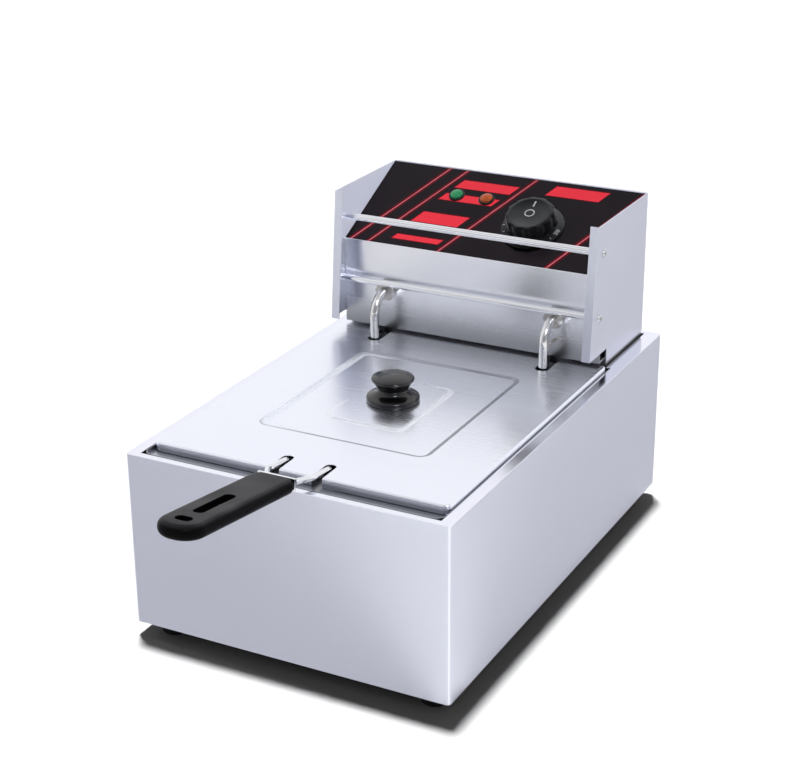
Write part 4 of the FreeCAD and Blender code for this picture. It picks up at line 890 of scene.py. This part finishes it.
def crossHead(radius, rise):  # seat on the origin, head upwards, metres
    rings = [(radius * reach / mm, rise * height / mm) for reach, height in screwForm["rings"]]
    shape = turned(rings, screwForm["steps"])
    arm = radius * screwForm["arm"]
    slot = radius * screwForm["slot"]
    lifted = Matrix.Translation((0, 0, rise))
    patch = bmesh.ops.create_grid(shape, x_segments=3, y_segments=3, size=arm, matrix=lifted)["verts"]
    for vert in patch:
        for axis in (0, 1):
            if abs(vert.co[axis]) < arm / 2:
                vert.co[axis] = math.copysign(slot, vert.co[axis])
    bmesh.ops.bridge_loops(shape, edges=[edge for edge in shape.edges if edge.is_boundary])
    held = [face for face in shape.faces if all(vert in patch for vert in face.verts)]
    middles = [face.calc_center_median() for face in held]
    cross = [face for face, spot in zip(held, middles) if min(abs(spot.x), abs(spot.y)) < slot]
    sunk = bmesh.ops.extrude_face_region(shape, geom=cross)["geom"]
    bmesh.ops.delete(shape, geom=cross, context="FACES_ONLY")
    sunkVerts = [item for item in sunk if isinstance(item, bmesh.types.BMVert)]
    bmesh.ops.translate(shape, verts=sunkVerts, vec=(0, 0, -rise * screwForm["depth"]))
    bmesh.ops.recalc_face_normals(shape, faces=shape.faces)
    settleShading(shape, screwForm["smooth"])
    return shape


def solidBoxes(node):  # lowest and highest corner of each solid in a group
    shape = nodeShape(node)
    boxes = []
    reached = set()
    for first in shape.verts:
        if first in reached:
            continue
        solid = [first]
        reached.add(first)
        for vert in solid:  # grows while it is walked
            for edge in vert.link_edges:
                other = edge.other_vert(vert)
                if other not in reached:
                    reached.add(other)
                    solid.append(other)
        low = Vector([min(vert.co[axis] for vert in solid) for axis in range(3)])
        high = Vector([max(vert.co[axis] for vert in solid) for axis in range(3)])
        boxes.append((low, high))
    shape.free()
    return boxes


def screwHeads(name, node, facing):
    rise = screwForm["rise"] * mm
    shape = bmesh.new()
    for index, (low, high) in enumerate(solidBoxes(node)):
        middle = (low + high) / 2
        out = facing(middle)
        seat = middle + out * (abs((high - low).dot(out)) / 2 - rise)
        head = crossHead((high.z - low.z) / 2, rise)
        turn = out.to_track_quat("Z", "Y").to_matrix().to_4x4()
        put(head, Matrix.Translation(seat) @ turn @ Matrix.Rotation(screwForm["spin"] * index, 4, "Z"))
        gather(shape, head)
    standIn(name, shape, node)


screwHeads("rodScrewHeads", "rod_screws", lambda middle: Vector((math.copysign(1, middle.x), 0, 0)))
screwHeads("rearScrewHeads", "rear_cover_screws", lambda middle: Vector((0, 1, 0)))
print("screws made")


# Floor

floorLook = {
    "size": 90.0, "tint": (0.92, 0.92, 0.93), "shade": 0.99, "cloud": 1.5, "rough": 0.6, "gloss": 0.1,
}


def floorFinish(name, look):
    def build(start):
        tint = mixed(start, noise(start, look["cloud"]), look["tint"], scaled(look["tint"], look["shade"]))
        values = {"Base Color": tint, "Roughness": look["rough"], "Specular IOR Level": look["gloss"]}
        return start.node("ShaderNodeBsdfPrincipled", values=values)
    return newFinish(name, build)


floorShape = bmesh.new()
bmesh.ops.create_grid(floorShape, x_segments=1, y_segments=1, size=floorLook["size"] / 2)
floor = meshObject("floor", floorShape, floorFinish("floor_finish", floorLook))


# Light

sunLook = {  # degrees
    "softKey": {"strength": 3.7, "angle": 4.5, "turn": (-5.4, -4.4, 0.0)},
    "softFill": {"strength": 0.2, "angle": 175.0, "turn": (0.0, 0.0, 0.0)},
}
for title, look in sunLook.items():
    sun = bpy.data.lights.new(title, "SUN")
    sun.energy = look["strength"]
    sun.angle = math.radians(look["angle"])
    sunHolder = addObject(title, sun)
    sunHolder.rotation_euler = [math.radians(value) for value in look["turn"]]
    sunHolder.visible_glossy = False  # the cards and the room are what the steel mirrors

roomLook = {
    "strength": 1.0, "lit": (1.0, 1.0, 1.02),
    "zones": {  # each grows as a direction nears its own
        "dimFront": {"towards": (0.466, -0.885, 0.0), "from": 0.1, "to": 0.95, "tint": (0.30, 0.31, 0.34)},
        "dimCeiling": {"towards": (0.0, 0.0, 1.0), "from": 0.72, "to": 1.0, "tint": (0.60, 0.60, 0.63)},
        "roundLamp": {"towards": (0.52, -0.50, 0.69), "from": 0.98, "to": 0.987, "tint": (10.0, 10.0, 10.3)},
    },
}
room = bpy.data.worlds.new("studio")
room.use_nodes = True
room.node_tree.nodes.clear()
roomStart = Sock(room.node_tree)
roomSpot = roomStart.node("ShaderNodeTexCoord", output="Generated")
roomTint = roomLook["lit"]
for zone in roomLook["zones"].values():
    pair = {0: roomSpot, 1: zone["towards"]}
    nearness = roomStart.node("ShaderNodeVectorMath", {"operation": "DOT_PRODUCT"}, pair, output="Value")
    mask = smoothStep(roomStart, nearness, zone["from"], zone["to"])
    roomTint = mixed(roomStart, mask, roomTint, zone["tint"])
roomValues = {"Color": roomTint, "Strength": roomLook["strength"]}
roomGlow = roomStart.node("ShaderNodeBackground", values=roomValues)
roomStart.node("ShaderNodeOutputWorld", values={"Surface": roomGlow})
room.cycles_visibility.diffuse = False  # the room is there to be mirrored
bpy.context.scene.world = room
bpy.context.scene.view_settings.view_transform = "Standard"

cardLook = {  # metres on the floor: cards that only the polished sheets see
    "lift": 0.0003, "cloud": 2.0, "shade": 0.96, "strength": 1.0,
    "cards": {
        "frontCard": {
            "corners": ((0.128, -0.165), (-0.99, -1.38), (-1.9, -1.0), (-1.2, -0.1)),
            "glow": (0.70, 0.70, 0.73),
        },
        "sideCard": {
            "corners": ((0.15, -0.11), (1.2, 1.88), (1.2, 2.4), (0.15, 2.4)),
            "glow": (0.73, 0.73, 0.76),
        },
        "leftCard": {
            "corners": ((-0.15, -0.05), (-0.15, 0.29), (-1.25, 1.35), (-1.25, 1.0)),
            "glow": (0.70, 0.70, 0.73),
        },
        "rearCard": {
            "corners": ((0.14, 0.30), (-0.14, 0.30), (-1.2, 1.4), (0.14, 2.0)),
            "glow": (0.70, 0.70, 0.73),
        },
        "edgeCard": {
            "corners": ((0.22, -0.16), (0.9, -0.16), (1.2, -0.9), (0.3, -0.7)),
            "glow": (1.15, 1.15, 1.18),
        },
    },
}


def cardFinish(name, glow):
    def build(start):
        tint = mixed(start, noise(start, cardLook["cloud"]), glow, scaled(glow, cardLook["shade"]))
        return start.node("ShaderNodeEmission", values={"Color": tint, "Strength": cardLook["strength"]})
    return newFinish(name, build)


for title, look in cardLook["cards"].items():
    cardShape = bmesh.new()
    cardShape.faces.new([cardShape.verts.new((x, y, cardLook["lift"])) for x, y in look["corners"]])
    card = meshObject(title, cardShape, cardFinish(title + "_finish", look["glow"]))
    card.visible_camera = False
    card.visible_diffuse = False
    card.visible_shadow = False
    card.visible_transmission = False


# Camera

cameraLook = {  # the photograph's viewing angle, in degrees; the target from the casing's front, in metres
    "lens": 80.97, "sensor": 36.0, "azimuth": 27.803, "elevation": 22.494, "roll": -0.455,
    "distance": 1.54937, "target": (-0.01675, 0.22645, 0.15637),
}
camera = bpy.data.cameras.new("camera")
camera.lens = cameraLook["lens"]
camera.sensor_width = cameraLook["sensor"]
cameraHolder = addObject("camera", camera)
aim = Matrix.Translation(Vector((0, casingFront, 0)) + Vector(cameraLook["target"]))
around = Matrix.Rotation(math.radians(cameraLook["azimuth"]), 4, "Z")
tilt = Matrix.Rotation(math.pi / 2 - math.radians(cameraLook["elevation"]), 4, "X")
roll = Matrix.Rotation(math.radians(cameraLook["roll"]), 4, "Z")
away = Matrix.Translation((0, 0, cameraLook["distance"]))
cameraHolder.matrix_world = aim @ around @ tilt @ roll @ away
bpy.context.scene.camera = cameraHolder
print("stage, light and camera set")
